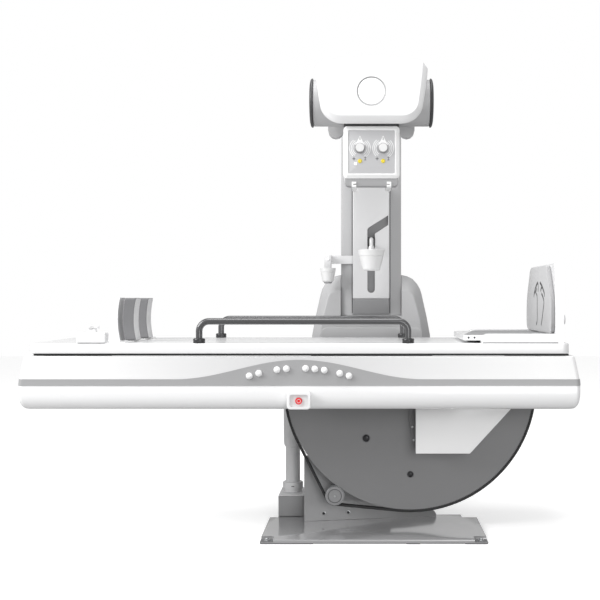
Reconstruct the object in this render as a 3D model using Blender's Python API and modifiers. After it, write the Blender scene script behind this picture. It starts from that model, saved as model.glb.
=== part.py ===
"""Tilting radiography and fluoroscopy table with an over-table tube column.

Metres, +Z up. X runs along the table from head (-X) to foot (+X), Y from the front to the back,
and the floor is Z = 0.
"""

import math

import bmesh
import bpy
from mathutils import Matrix, Vector

# Clearances
GAP = 0.0003
RUNNING_GAP = 0.0005

# Base plate and stand
BASE_LEFT = -0.158
BASE_WIDTH = 0.916
BASE_FRONT = -0.355
BASE_DEPTH = 0.455
BASE_THICK = 0.018
BASE_CORNER_RADIUS = 0.02
BASE_STEP_WIDTH = 0.70
BASE_STEP_DEPTH = 0.06
BASE_TONGUE_WIDTH = 0.57
BASE_TONGUE_DEPTH = 0.40
STAND_SLANT = math.radians(11.7)
STAND_FRONT = 0.006
STAND_SHEET = 0.006
STAND_SHOULDER = 0.30
STAND_WIDTH = 0.34
STAND_TOE_LENGTH = 0.58
STAND_TOE_HEIGHT = 0.03
ARM_THICK = 0.055
ARM_HALF_WIDTH = 0.058
HUB_RADIUS = 0.062
HUB_FRONT = 0.02
HUB_BACK = 0.175

# Tilt axis, sector, belt and pulley
TILT_X = 0.4554
TILT_Z = 0.6106
SECTOR_FRONT = -0.045
SECTOR_THICK = 0.022
TOOTH_PITCH = 0.014
TOOTH_HEIGHT = 0.0045
TOOTH_ROOT = 0.34
TOOTH_TIP = 0.20
SECTOR_TIP_RADIUS = 0.5328
BELT_BACKING = 0.009
BELT_WIDTH = 0.030
BELT_CLEARANCE = 0.0005
PULLEY_ANGLE = math.radians(34.3)
PULLEY_TEETH = 15
PULLEY_RUN = 0.004
FLANGE_RIM = 0.007
FLANGE_THICK = 0.006
SHAFT_RADIUS = 0.030
BUSH_WALL = 0.010
BUSH_FLANGE = 0.008
CRADLE_LENGTH = 0.40
CRADLE_BEAM = 0.045
CRADLE_HALF_WIDTH = 0.23
CRADLE_HEIGHT = 0.10
CRADLE_PLATE = 0.018
SECTOR_DROP = 0.006
COVER_LEFT = 0.477
COVER_RIGHT = 0.89
COVER_DROP = 0.205
COVER_THICK = 0.10
MOTOR_RADIUS = 0.045
MOTOR_LENGTH = 0.16

# Cable riser
RISER_X = -0.0645
RISER_Y = 0.225
JUNCTION_WIDTH = 0.115
JUNCTION_DEPTH = 0.21
JUNCTION_HEIGHT = 0.093
RISER_RADIUS = 0.0325
RISER_TOP = 0.325
RISER_RING_WALL = 0.013
RISER_RING_HEIGHT = 0.045
SLEEVE_WALL = 0.009
SLEEVE_BOTTOM = 0.315

# Table body
TABLE_LENGTH = 2.26
TABLETOP_WIDTH = 0.70
TABLETOP_LENGTH = 2.17
TABLETOP_HEIGHT = 0.804
TABLETOP_THICK = 0.038
BODY_GAP = 0.012
BODY_HEIGHT = 0.210
BODY_WIDTH = 0.69
BODY_WALL = 0.004
END_CORNER = 0.05
END_CAP_LENGTH = 0.17
END_CAP_SLOPE = 0.042
END_CAP_SLOPE_Z = 0.11
BAND_HEIGHT = 0.026
BAND_BOTTOM = TABLETOP_HEIGHT - 0.170
BAND_CREST = 0.078
BAND_RISE_LENGTH = 0.50
BAND_THICK = 0.0025
FRAME_BEAM_WIDTH = 0.045
FRAME_BEAM_HEIGHT = 0.09
FRAME_BEAM_Y = 0.305
FRAME_CROSS = 0.05
OUTRIGGER_Z = TABLETOP_HEIGHT - 0.206
END_CAP_WALL = 0.006
WELL_HEAD = 0.31
WELL_FOOT = 0.45
PAN_THICK = 0.004
BELLY_RADIUS = 0.045
RUNNER_WALL = 0.008
SLIDE_WIDTH = 0.05
SHIFT_RAIL = 0.020

# Controls on the front fascia
BUTTON_RADIUS = 0.0145
BUTTON_PLACES = (-0.200, -0.162, -0.089, -0.051, 0.026, 0.063, 0.101, 0.163, 0.200)
BUTTON_CREST = TABLETOP_HEIGHT - 0.100
BUTTON_CURVE = 0.77
BUTTON_DOME = 0.006
ESTOP_WIDTH = 0.095
ESTOP_HEIGHT = 0.073
ESTOP_DEPTH = 0.030
ESTOP_Z = TABLETOP_HEIGHT - 0.226
ESTOP_RADIUS = 0.0135
ESTOP_TRAVEL = 0.005

# Tabletop accessories
HANDRAIL_HEAD = -0.404
HANDRAIL_FOOT = 0.438
HANDRAIL_RADIUS = 0.0133
HANDRAIL_HEIGHT = 0.088
HANDRAIL_BEND = 0.040
HANDRAIL_Y = 0.325
COLLAR_RADIUS = 0.024
COLLAR_HEIGHT = 0.020
CLAMP_LENGTH = 0.117
CLAMP_HEIGHT = 0.043
CLAMP_DEPTH = 0.064
CLAMP_HEAD = -0.893
REST_PLATE_THICK = 0.005
REST_PLATE_FOOT = -0.70
PAD_HALF_SPAN = 0.13
PAD_WIDTH = 0.10
PAD_HEIGHT = 0.178
PAD_THICK = 0.046
PAD_ARC_RADIUS = 0.36
PAD_FACE_X = -0.720
SHELL_THICK = 0.022
KNOB_RADIUS = 0.029
KNOB_THICK = 0.012
KNOB_STEM = 0.017
BOARD_X = 1.012
BOARD_WIDTH = 0.68
BOARD_HEIGHT = 0.285
BOARD_THICK = 0.016
BOARD_SHELL = 0.034
CHEEK_LENGTH = 0.33
FOOT_CHEEK_HEIGHT = 0.038
FOOT_CHEEK_WIDTH = 0.045
PLATFORM_THICK = 0.022
FOOT_KNOB_RADIUS = 0.020
FOOT_KNOB_LENGTH = 0.030

# Tube column
TOWER_X = 0.291
TOWER_FRONT = 0.485
TOWER_DEPTH = 0.22
TOWER_FOOT_WIDTH = 0.57
TOWER_SHOULDER_Z = TABLETOP_HEIGHT + 0.287
TOWER_BOTTOM = TABLETOP_HEIGHT - 0.204
TOWER_FLANK = ((0.0, 0.207), (0.016, 0.296), (0.041, 0.408), (0.058, 0.451), (0.095, 0.478))
COLUMN_BOTTOM = TABLETOP_HEIGHT - 0.104
COLUMN_SET_BACK = 0.008
COLUMN_SEAT_CLEARANCE = 0.0015
SKIRT_OVERHANG = 0.006
STEP_TOP = TABLETOP_HEIGHT + 0.043
STEP_THICK = 0.008
RAIL_SIZE = 0.02
COLUMN_WIDTH = 0.288
COLUMN_DEPTH = 0.15
COLUMN_WALL = 0.010
COLUMN_TOP = TABLETOP_HEIGHT + 0.996
MAST_CLEARANCE = 0.0004
MAST_BOTTOM = TABLETOP_HEIGHT + 0.396
MAST_TOP = TABLETOP_HEIGHT + 1.126
PANEL_WIDTH = 0.176
PANEL_BOTTOM = TABLETOP_HEIGHT + 0.180
PANEL_TOP = TABLETOP_HEIGHT + 0.712
PANEL_THICK = 0.035
PANEL_NOTCH = 0.014
SLOT_WIDTH = 0.036
SLOT_BOTTOM = TABLETOP_HEIGHT + 0.208
SLOT_BEND = TABLETOP_HEIGHT + 0.501
SKIRT_BOTTOM = TABLETOP_HEIGHT + 0.103
COMPRESSOR_Z = TABLETOP_HEIGHT + 0.458
COMPRESSOR_RADIUS = 0.014
CONE_TOP_RADIUS = 0.058
CONE_BOTTOM_RADIUS = 0.042
CONE_TOP_Z = TABLETOP_HEIGHT + 0.391
CONE_HEIGHT = 0.09
CONE_WALL = 0.003
SIDE_CONE_SCALE = 0.645
SIDE_CONE_HEIGHT = 0.073
BRACKET_Z = TABLETOP_HEIGHT + 0.3665
BRACKET_HEIGHT = 0.039
BRACKET_HANGER = 0.041
BRACKET_PLATE = 0.035
BRACKET_SHEET = 0.008
BRACKET_REACH = 0.0785
TRAY_LENGTH = 0.50
TRAY_WIDTH = 0.46
TRAY_THICK = 0.030

# Tube head
TUBE_Z = TABLETOP_HEIGHT + 1.026
TUBE_RADIUS = 0.100
TUBE_LENGTH = 0.50
CAP_RADIUS = 0.105
CAP_THICK = 0.018
COVER_WIDTH = 0.472
COVER_TOP = TABLETOP_HEIGHT + 1.198
COVER_BOTTOM = TABLETOP_HEIGHT + 0.934
COVER_FRONT = -0.165
COVER_DEPTH = 0.20
COVER_WALL = 0.005
COVER_RIM = 0.022
ARM_BEAM_WIDTH = 0.13
ARM_BEAM_HEIGHT = 0.10
YOKE_THICK = 0.04
YOKE_LOBE = 0.07
YOKE_LOBE_X = 0.159
YOKE_BOTTOM = TABLETOP_HEIGHT + 0.900
COLLIMATOR_WIDTH = 0.238
COLLIMATOR_DEPTH = 0.22
COLLIMATOR_TOP = TABLETOP_HEIGHT + 0.911
COLLIMATOR_HEIGHT = 0.222
COLLIMATOR_NOSE = 0.030
COLLIMATOR_SWING = math.hypot(COLLIMATOR_WIDTH, COLLIMATOR_DEPTH) / 2
FIELD_KNOB_SPAN = 0.098
FIELD_KNOB_RADIUS = 0.0155
FIELD_SKIRT_RADIUS = 0.022
FIELD_KNOB_Z = TABLETOP_HEIGHT + 0.816
LIGHT_BUTTON_RADIUS = 0.009
LIGHT_BUTTON_Z = TABLETOP_HEIGHT + 0.762
ACCESSORY_RAIL_SPAN = 0.15

for old in list(bpy.data.objects):
    bpy.data.objects.remove(old)

parts = bpy.data.collections.new("tilting_xray_table")
cutters = bpy.data.collections.new("cutters")
bpy.context.scene.collection.children.link(parts)
bpy.context.scene.collection.children.link(cutters)


# Finishes
def finish(name, colour, roughness, metallic=0.0):
    material = bpy.data.materials.new(name)
    material.use_nodes = True
    shader = material.node_tree.nodes["Principled BSDF"]
    shader.inputs["Base Color"].default_value = (*colour, 1.0)
    shader.inputs["Roughness"].default_value = roughness
    shader.inputs["Metallic"].default_value = metallic
    return material


WHITE = finish("white_gloss", (0.86, 0.86, 0.86), 0.25)
PALE = finish("pale_grey", (0.62, 0.62, 0.63), 0.4)
GREY = finish("mid_grey", (0.24, 0.24, 0.25), 0.45)
DARK = finish("dark_grey", (0.06, 0.06, 0.065), 0.4)
BLACK = finish("black_rubber", (0.012, 0.012, 0.013), 0.6)
STEEL = finish("steel", (0.5, 0.5, 0.52), 0.3, 1.0)
PAD = finish("pad_grey", (0.2, 0.2, 0.21), 0.6)
RED = finish("red", (0.7, 0.03, 0.04), 0.35)
YELLOW = finish("yellow", (0.8, 0.6, 0.08), 0.35)


# Making solids
def add(obj, material=None, cutter=False):
    for home in list(obj.users_collection):
        home.objects.unlink(obj)
    if cutter:
        cutters.objects.link(obj)
        obj.hide_render = True
        obj.display_type = "WIRE"
    else:
        parts.objects.link(obj)
        obj.data.materials.clear()
        obj.data.materials.append(material)
    return obj


def set_origin(obj, point):
    shift = Vector(point) - obj.location
    obj.data.transform(Matrix.Translation(-shift))
    obj.location = point
    return obj


def bevel(obj, width, segments=1, angle=math.radians(30)):
    modifier = obj.modifiers.new("rounded_edges", "BEVEL")
    modifier.width = width
    modifier.segments = segments
    modifier.limit_method = "ANGLE"
    modifier.angle_limit = angle
    return obj


def box(name, x, y, z, material=None, cutter=False, round_by=0.0, segments=1):
    bpy.ops.mesh.primitive_cube_add(size=1.0)
    obj = bpy.context.object
    obj.name = name
    middle = Vector(((x[0] + x[1]) / 2, (y[0] + y[1]) / 2, (z[0] + z[1]) / 2))
    size = (x[1] - x[0], y[1] - y[0], z[1] - z[0])
    obj.data.transform(Matrix.Diagonal((*size, 1.0)))
    obj.location = middle
    add(obj, material, cutter)
    if round_by:
        bevel(obj, round_by, segments)
    return obj


TURNS = {
    "Z": Matrix.Identity(4),
    "Y": Matrix.Rotation(math.radians(90), 4, "X"),
    "-Y": Matrix.Rotation(math.radians(-90), 4, "X"),
    "X": Matrix.Rotation(math.radians(90), 4, "Y"),
}


def rod(name, radius, axis, centre, length, material=None, cutter=False, sides=32, top_radius=None):
    top = radius if top_radius is None else top_radius
    bpy.ops.mesh.primitive_cone_add(vertices=sides, radius1=radius, radius2=top, depth=length)
    obj = bpy.context.object
    obj.name = name
    obj.data.transform(TURNS[axis])
    obj.location = centre
    add(obj, material, cutter)
    obj.data.shade_smooth()
    obj.data.set_sharp_from_angle(angle=math.radians(40))
    return obj


def turned(name, profile, axis, centre, material=None, cutter=False, steps=32):
    """Screw a profile of (radius, height) points, listed from top to bottom on the outer side."""
    mesh = bpy.data.meshes.new(name)
    mesh.from_pydata([(r, 0.0, h) for r, h in profile], [(i, i + 1) for i in range(len(profile) - 1)], [])
    mesh.transform(Matrix.Identity(4))
    obj = bpy.data.objects.new(name, mesh)
    add(obj, material, cutter)
    screw = obj.modifiers.new("turn", "SCREW")
    screw.steps = steps
    screw.render_steps = steps
    screw.use_merge_vertices = True
    screw.merge_threshold = 0.00001
    evaluated = obj.evaluated_get(bpy.context.evaluated_depsgraph_get())
    solid = bpy.data.meshes.new_from_object(evaluated)
    obj.modifiers.clear()
    obj.data = solid
    solid.transform(TURNS[axis])
    obj.location = centre
    solid.shade_smooth()
    solid.set_sharp_from_angle(angle=math.radians(40))
    return obj


def prism(name, outline, depth, material=None, cutter=False, plane="XZ", at=(0.0, 0.0, 0.0)):
    """Extrude a closed outline: XZ outlines run back along +Y, XY up along +Z, YZ along +X."""
    mesh = bpy.data.meshes.new(name)
    work = bmesh.new()
    place = {
        "XZ": lambda a, b: (a, 0.0, b),
        "XY": lambda a, b: (a, b, 0.0),
        "YZ": lambda a, b: (0.0, a, b),
    }[plane]
    along = {"XZ": (0.0, depth, 0.0), "XY": (0.0, 0.0, depth), "YZ": (depth, 0.0, 0.0)}[plane]
    face = work.faces.new([work.verts.new(place(a, b)) for a, b in outline])
    grown = bmesh.ops.extrude_face_region(work, geom=[face])
    moved = [v for v in grown["geom"] if isinstance(v, bmesh.types.BMVert)]
    bmesh.ops.translate(work, vec=along, verts=moved)
    bmesh.ops.recalc_face_normals(work, faces=work.faces)
    work.to_mesh(mesh)
    work.free()
    obj = bpy.data.objects.new(name, mesh)
    obj.location = at
    return add(obj, material, cutter)


def arc(centre, radius, start, end, steps):
    """Points on an arc in degrees, counter-clockwise from +first axis."""
    points = []
    for i in range(steps + 1):
        angle = math.radians(start + (end - start) * i / steps)
        points.append((centre[0] + radius * math.cos(angle), centre[1] + radius * math.sin(angle)))
    return points


def rounded(a, b, radius, steps=4):
    """Rounded rectangle between a = (low, high) and b = (low, high)."""
    corners = ((a[1], b[0], -90), (a[1], b[1], 0), (a[0], b[1], 90), (a[0], b[0], 180))
    points = []
    for x, y, start in corners:
        inner = (x - math.copysign(radius, x - sum(a) / 2), y - math.copysign(radius, y - sum(b) / 2))
        points += arc(inner, radius, start, start + 90, steps)
    return points


def boolean(obj, tool, operation="DIFFERENCE"):
    modifier = obj.modifiers.new(operation.lower(), "BOOLEAN")
    modifier.operation = operation
    modifier.solver = "EXACT"
    modifier.object = tool
    return obj


def settle(obj):
    """Turn an object's modifiers into plain mesh, at its place."""
    bpy.context.view_layer.update()
    evaluated = obj.evaluated_get(bpy.context.evaluated_depsgraph_get())
    mesh = bpy.data.meshes.new_from_object(evaluated)
    obj.modifiers.clear()
    obj.data = mesh
    return obj


def cut(obj, *tools):
    for tool in tools:
        boolean(obj, tool)
    settle(obj)
    for tool in tools:
        bpy.data.objects.remove(tool)
    return obj


def join(obj, *others):
    for other in others:
        boolean(obj, other, "UNION")
    settle(obj)
    for other in others:
        bpy.data.objects.remove(other)
    return obj


def pipe(name, points, radius, material, bend=0.0, sides=2):
    """A round tube through straight runs, with each corner turned on a bend radius."""
    path = [Vector(points[0])]
    for before, corner, after in zip(points, points[1:], points[2:]):
        corner = Vector(corner)
        towards = (Vector(before) - corner).normalized()
        away = (Vector(after) - corner).normalized()
        half = towards.angle(away) / 2
        reach = bend / math.tan(half)
        middle = corner + (towards + away).normalized() * bend / math.sin(half)
        start = corner + towards * reach - middle
        end = corner + away * reach - middle
        turn = start.angle(end)
        for i in range(6):
            share = i / 5
            near = math.sin((1 - share) * turn) / math.sin(turn)
            far = math.sin(share * turn) / math.sin(turn)
            path.append(middle + start * near + end * far)
    path.append(Vector(points[-1]))
    curve = bpy.data.curves.new(name, "CURVE")
    curve.dimensions = "3D"
    curve.bevel_depth = radius
    curve.bevel_resolution = sides
    curve.use_fill_caps = True
    spline = curve.splines.new("POLY")
    spline.points.add(len(path) - 1)
    for point, place in zip(spline.points, path):
        point.co = (*place, 1.0)
    guide = bpy.data.objects.new(name + "_curve", curve)
    bpy.context.scene.collection.objects.link(guide)
    bpy.context.view_layer.update()
    evaluated = guide.evaluated_get(bpy.context.evaluated_depsgraph_get())
    mesh = bpy.data.meshes.new_from_object(evaluated)
    work = bmesh.new()
    work.from_mesh(mesh)
    bmesh.ops.remove_doubles(work, verts=work.verts, dist=0.00001)
    work.to_mesh(mesh)
    work.free()
    bpy.data.objects.remove(guide)
    obj = bpy.data.objects.new(name, mesh)
    return add(obj, material)


def carry(name, point, *objects):
    """Parent objects to an empty on their joint's axis."""
    empty = bpy.data.objects.new(name, None)
    empty.location = point
    parts.objects.link(empty)
    bpy.context.view_layer.update()
    for obj in objects:
        obj.parent = empty
        obj.matrix_parent_inverse = empty.matrix_world.inverted()
    return empty


# Base plate: one steel plate, wide in front, with a narrower tongue under the column behind
base_right = BASE_LEFT + BASE_WIDTH
base_back = BASE_FRONT + BASE_DEPTH
step_left = BASE_LEFT + 0.05
step_right = step_left + BASE_STEP_WIDTH + 0.10
tongue_left = 0.005
tongue_right = tongue_left + BASE_TONGUE_WIDTH
step_back = base_back + BASE_STEP_DEPTH
tongue_back = step_back + BASE_TONGUE_DEPTH
corner = BASE_CORNER_RADIUS
base_outline = arc((BASE_LEFT + corner, BASE_FRONT + corner), corner, 180, 270, 4)
base_outline += arc((base_right - corner, BASE_FRONT + corner), corner, 270, 360, 4)
base_outline += [
    (base_right, base_back),
    (step_right, base_back),
    (step_right, step_back),
    (tongue_right, step_back),
    (tongue_right, tongue_back),
    (tongue_left, tongue_back),
    (tongue_left, base_back + JUNCTION_DEPTH + 0.06),
    (RISER_X - JUNCTION_WIDTH / 2, base_back + JUNCTION_DEPTH + 0.06),
    (RISER_X - JUNCTION_WIDTH / 2, base_back),
    (BASE_LEFT, base_back),
]
base_plate = prism("base_plate", base_outline, BASE_THICK, GREY, plane="XY")

# Stand: the front sheet and the cast column behind it recede to the foot side
floor_top = BASE_THICK + GAP
stand_turn = Matrix.Rotation(STAND_SLANT, 4, "Z")
slant_length = 1.0 / math.cos(STAND_SLANT)


def slanted(name, outline, front, depth, material, cutter=False):
    obj = prism(name, outline, depth, material, cutter, at=(0.0, STAND_FRONT, 0.0))
    obj.data.transform(Matrix.Translation((0.0, front, 0.0)))
    obj.data.transform(stand_turn)
    return obj


def slant_y(x, behind=0.0):
    """Where the slanted face, or one parallel behind it, crosses X."""
    return STAND_FRONT + x * math.tan(STAND_SLANT) + behind * slant_length


toe = STAND_TOE_LENGTH * slant_length
sheet_outline = [
    (0.0, floor_top),
    (toe - STAND_TOE_HEIGHT, floor_top),
    *arc((toe - STAND_TOE_HEIGHT, floor_top), STAND_TOE_HEIGHT, 0, 90, 6),
    (STAND_WIDTH + 0.05, floor_top + 0.06),
    (STAND_WIDTH * slant_length, STAND_SHOULDER - 0.04),
    (STAND_WIDTH * slant_length - 0.04, STAND_SHOULDER),
    (0.0, STAND_SHOULDER),
]
stand_plate = slanted("stand_plate", sheet_outline, 0.0, STAND_SHEET, GREY)

hub_x = TILT_X * slant_length
arm_outline = [
    (0.012, floor_top),
    (STAND_WIDTH, floor_top),
    (STAND_WIDTH - 0.01, STAND_SHOULDER - 0.05),
    (hub_x + ARM_HALF_WIDTH * 0.75, TILT_Z - ARM_HALF_WIDTH * 0.7),
    *arc((hub_x, TILT_Z), ARM_HALF_WIDTH, 0, 135, 8),
    (0.20, STAND_SHOULDER + 0.115),
    (0.012, STAND_SHOULDER - 0.01),
]
stand_column = slanted("stand_column", arm_outline, STAND_SHEET + GAP, ARM_THICK, GREY)
hub_middle = (HUB_FRONT + HUB_BACK) / 2
hub = rod("hub", HUB_RADIUS, "Y", (TILT_X, hub_middle, TILT_Z), HUB_BACK - HUB_FRONT, cutter=True)
foot = prism(
    "foot",
    [
        (0.03, slant_y(0.03, STAND_SHEET + ARM_THICK / 2)),
        (STAND_WIDTH - 0.02, slant_y(STAND_WIDTH - 0.02, STAND_SHEET + ARM_THICK / 2)),
        (STAND_WIDTH - 0.02, 0.26),
        (0.03, 0.26),
    ],
    0.05,
    cutter=True,
    plane="XY",
    at=(0.0, 0.0, floor_top),
)
rib = box("rib", (0.22, 0.26), (slant_y(0.24, 0.04), 0.25), (floor_top + 0.001, 0.26), cutter=True)
join(stand_column, hub, foot, rib)
bore = rod("bore", SHAFT_RADIUS + GAP, "Y", (TILT_X, hub_middle, TILT_Z), 0.4, cutter=True)
cut(stand_column, bore)

# Levels of the table body, which the tilting frame hangs below
body_top = TABLETOP_HEIGHT - TABLETOP_THICK - BODY_GAP
body_bottom = body_top - BODY_HEIGHT
body_front = -BODY_WIDTH / 2
half_table = TABLE_LENGTH / 2

# Toothed sector: a plate with a belt-toothed rim and a tongue up to the tilt axis
tooth_step = TOOTH_PITCH / SECTOR_TIP_RADIUS
sector_root = SECTOR_TIP_RADIUS - TOOTH_HEIGHT
chord_z = body_bottom - SECTOR_DROP
end_angle = math.acos((TILT_Z - chord_z) / SECTOR_TIP_RADIUS)
side_teeth = int(end_angle / tooth_step) - 1


def outward(angle):
    """Unit vector from the tilt axis, by the angle from straight down towards the head end."""
    return Vector((-math.sin(angle), -math.cos(angle)))


tilt_centre = Vector((TILT_X, TILT_Z))
rim = []
for tooth in range(-side_teeth, side_teeth + 1):
    for share, radius in (
        (-TOOTH_ROOT, sector_root),
        (-TOOTH_TIP, SECTOR_TIP_RADIUS),
        (TOOTH_TIP, SECTOR_TIP_RADIUS),
        (TOOTH_ROOT, sector_root),
    ):
        rim.append(tuple(tilt_centre + outward((tooth + share) * tooth_step) * radius))
cradle_half = CRADLE_LENGTH / 2
tongue_half = cradle_half - CRADLE_BEAM - GAP
tongue_top = TILT_Z + CRADLE_HEIGHT / 2
rim += [
    (TILT_X - tongue_half, chord_z),
    (TILT_X - tongue_half, tongue_top),
    (TILT_X + tongue_half, tongue_top),
    (TILT_X + tongue_half, chord_z),
]
sector_gear = prism("sector_gear", rim, SECTOR_THICK, GREY, at=(0.0, SECTOR_FRONT, 0.0))
bush_radius = SHAFT_RADIUS + GAP + BUSH_WALL
bush_bore = bush_radius + GAP
cut(sector_gear, rod("seat", bush_bore, "Y", (TILT_X, SECTOR_FRONT, TILT_Z), 0.1, cutter=True))

# Drive pulley: toothed barrel between two flanges, on the gearmotor's shaft
pulley_tip = PULLEY_TEETH * TOOTH_PITCH / (2 * math.pi)
pulley_root = pulley_tip - TOOTH_HEIGHT
pulley_reach = SECTOR_TIP_RADIUS + pulley_tip + PULLEY_RUN
pulley_centre = tilt_centre + outward(PULLEY_ANGLE) * pulley_reach

# Belt path: foot side of the rim, round the outside of the pulley, head side of the rim
rim_radius = SECTOR_TIP_RADIUS + BELT_CLEARANCE
wrap_radius = pulley_tip + BELT_CLEARANCE
spread = math.acos((rim_radius - wrap_radius) / pulley_reach)
leave_angle = PULLEY_ANGLE - spread
return_angle = PULLEY_ANGLE + spread
anchor_angle = side_teeth * tooth_step
span = pulley_reach * math.sin(spread)
rim_foot = (leave_angle + anchor_angle) * rim_radius
wrap = 2 * spread * wrap_radius
rim_head = (anchor_angle - return_angle) * rim_radius
turns = (rim_foot, rim_foot + span, rim_foot + span + wrap, rim_foot + 2 * span + wrap)


def belt_point(distance):
    """Point on the belt's inner face and the direction out of it, by the distance from the foot end."""
    if distance < turns[0]:
        out = outward(-anchor_angle + distance / rim_radius)
        return tilt_centre + out * rim_radius, out
    if distance < turns[1]:
        out = outward(leave_angle)
        start = tilt_centre + out * rim_radius
        end = pulley_centre + out * wrap_radius
        return start.lerp(end, (distance - turns[0]) / span), out
    if distance < turns[2]:
        out = outward(leave_angle + (distance - turns[1]) / wrap_radius)
        return pulley_centre + out * wrap_radius, out
    if distance < turns[3]:
        out = outward(return_angle)
        start = pulley_centre + out * wrap_radius
        end = tilt_centre + out * rim_radius
        return start.lerp(end, (distance - turns[2]) / span), out
    out = outward(return_angle + (distance - turns[3]) / rim_radius)
    return tilt_centre + out * rim_radius, out


# Belt teeth sit in the rim's gaps, and are spread evenly over the free loop between them
foot_teeth = []
head_teeth = []
for gap in range(-side_teeth, side_teeth):
    angle = (gap + 0.5) * tooth_step
    if angle < leave_angle - tooth_step / 2:
        foot_teeth.append((angle + anchor_angle) * rim_radius)
    if angle > return_angle + tooth_step / 2:
        head_teeth.append(turns[3] + (angle - return_angle) * rim_radius)
free = head_teeth[0] - foot_teeth[-1]
free_count = round(free / TOOTH_PITCH)
loop_teeth = [foot_teeth[-1] + free * i / free_count for i in range(1, free_count)]
belt_inner = [belt_point(0.0)[0]]
tooth_depth = TOOTH_HEIGHT - BELT_CLEARANCE
for place in foot_teeth + loop_teeth + head_teeth:
    for share, depth in ((-0.21, 0.0), (-0.10, tooth_depth), (0.10, tooth_depth), (0.21, 0.0)):
        point, out = belt_point(place + share * TOOTH_PITCH)
        belt_inner.append(point - out * depth)
belt_length = turns[3] + rim_head
belt_inner.append(belt_point(belt_length)[0])
belt_outer = []
outer_steps = 90
marks = [belt_length * i / outer_steps for i in range(outer_steps + 1)]
marks += [turns[1] + wrap * i / 8 for i in range(9)]
for place in sorted(marks):
    point, out = belt_point(min(place, belt_length))
    belt_outer.append(point + out * BELT_BACKING)
belt_outline = [tuple(p) for p in belt_inner] + [tuple(p) for p in reversed(belt_outer)]
belt_front = SECTOR_FRONT + SECTOR_THICK / 2 - BELT_WIDTH / 2
drive_belt = prism("drive_belt", belt_outline, BELT_WIDTH, BLACK, at=(0.0, belt_front, 0.0))

# The pulley's tooth gaps meet the belt's teeth in the middle of the wrap
wrap_middle = turns[1] + wrap / 2
nearest = min(loop_teeth, key=lambda place: abs(place - wrap_middle))
gap_angle = leave_angle + (nearest - turns[1]) / wrap_radius
barrel = []
pulley_step = 2 * math.pi / PULLEY_TEETH
for tooth in range(PULLEY_TEETH):
    for share, radius in (
        (-TOOTH_ROOT, pulley_root),
        (-TOOTH_TIP, pulley_tip),
        (TOOTH_TIP, pulley_tip),
        (TOOTH_ROOT, pulley_root),
    ):
        angle = gap_angle + (tooth + 0.5 + share) * pulley_step
        barrel.append(tuple(outward(angle) * radius))
barrel_width = BELT_WIDTH + 4 * RUNNING_GAP
barrel_front = belt_front - 2 * RUNNING_GAP
pulley_at = (pulley_centre.x, barrel_front, pulley_centre.y)
drive_pulley = prism("drive_pulley", barrel, barrel_width, STEEL, at=pulley_at)
flange_radius = pulley_tip + FLANGE_RIM
for side, y in (("front", barrel_front - FLANGE_THICK / 2), ("back", barrel_front + barrel_width + FLANGE_THICK / 2)):
    flange = rod(
        side + "_flange",
        flange_radius,
        "Y",
        (pulley_centre.x, y, pulley_centre.y),
        FLANGE_THICK + 2 * GAP,
        cutter=True,
    )
    join(drive_pulley, flange)
motor_front = slant_y(pulley_centre.x + MOTOR_RADIUS, STAND_SHEET + ARM_THICK + 0.004)
shaft_back = motor_front + 0.02
shaft_middle = (barrel_front + shaft_back) / 2
motor_shaft_radius = 0.012
motor_shaft = rod(
    "shaft",
    motor_shaft_radius,
    "Y",
    (pulley_centre.x, shaft_middle, pulley_centre.y),
    shaft_back - barrel_front,
    cutter=True,
    sides=24,
)
join(drive_pulley, motor_shaft)
for stand_part in (stand_plate, stand_column):
    hole = rod("hole", motor_shaft_radius + 0.004, "Y", (pulley_centre.x, 0.08, pulley_centre.y), 0.3, cutter=True)
    cut(stand_part, hole)

# Tilt gearmotor: gearbox face behind the column, its bore holding the pulley's shaft
motor_profile = [
    (0.0, MOTOR_LENGTH),
    (MOTOR_RADIUS - 0.015, MOTOR_LENGTH),
    (MOTOR_RADIUS - 0.008, MOTOR_LENGTH - 0.01),
    (MOTOR_RADIUS - 0.008, 0.05),
    (MOTOR_RADIUS, 0.045),
    (MOTOR_RADIUS, 0.0),
    (motor_shaft_radius + GAP, 0.0),
    (motor_shaft_radius + GAP, 0.022),
    (0.0, 0.022),
]
drive_gearmotor = turned(
    "drive_gearmotor", motor_profile, "-Y", (pulley_centre.x, motor_front, pulley_centre.y), DARK, steps=28
)

# Trunnion shaft, fixed in the hub, and the two flanged bushes that turn on it
shaft_front = SECTOR_FRONT - BUSH_FLANGE
shaft_end = CRADLE_HALF_WIDTH - RUNNING_GAP
trunnion_shaft = rod(
    "trunnion_shaft",
    SHAFT_RADIUS,
    "Y",
    (TILT_X, (shaft_front + shaft_end) / 2, TILT_Z),
    shaft_end - shaft_front,
    STEEL,
    sides=32,
)


def bush(name, y, length):
    inner = SHAFT_RADIUS + GAP
    profile = [
        (bush_radius + BUSH_FLANGE, BUSH_FLANGE),
        (bush_radius + BUSH_FLANGE, 0.0),
        (bush_radius, 0.0),
        (bush_radius, -length),
        (inner, -length),
        (inner, BUSH_FLANGE),
        (bush_radius + BUSH_FLANGE, BUSH_FLANGE),
    ]
    return turned(name, profile, "Y", (TILT_X, y, TILT_Z), STEEL, steps=32)


front_depth = SECTOR_THICK + GAP + CRADLE_PLATE
inner_face = CRADLE_HALF_WIDTH - CRADLE_BEAM
trunnion_bush_front = bush("trunnion_bush_front", SECTOR_FRONT - GAP, front_depth)
trunnion_bush_rear = bush("trunnion_bush_rear", inner_face - GAP, CRADLE_BEAM - RUNNING_GAP)

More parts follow.
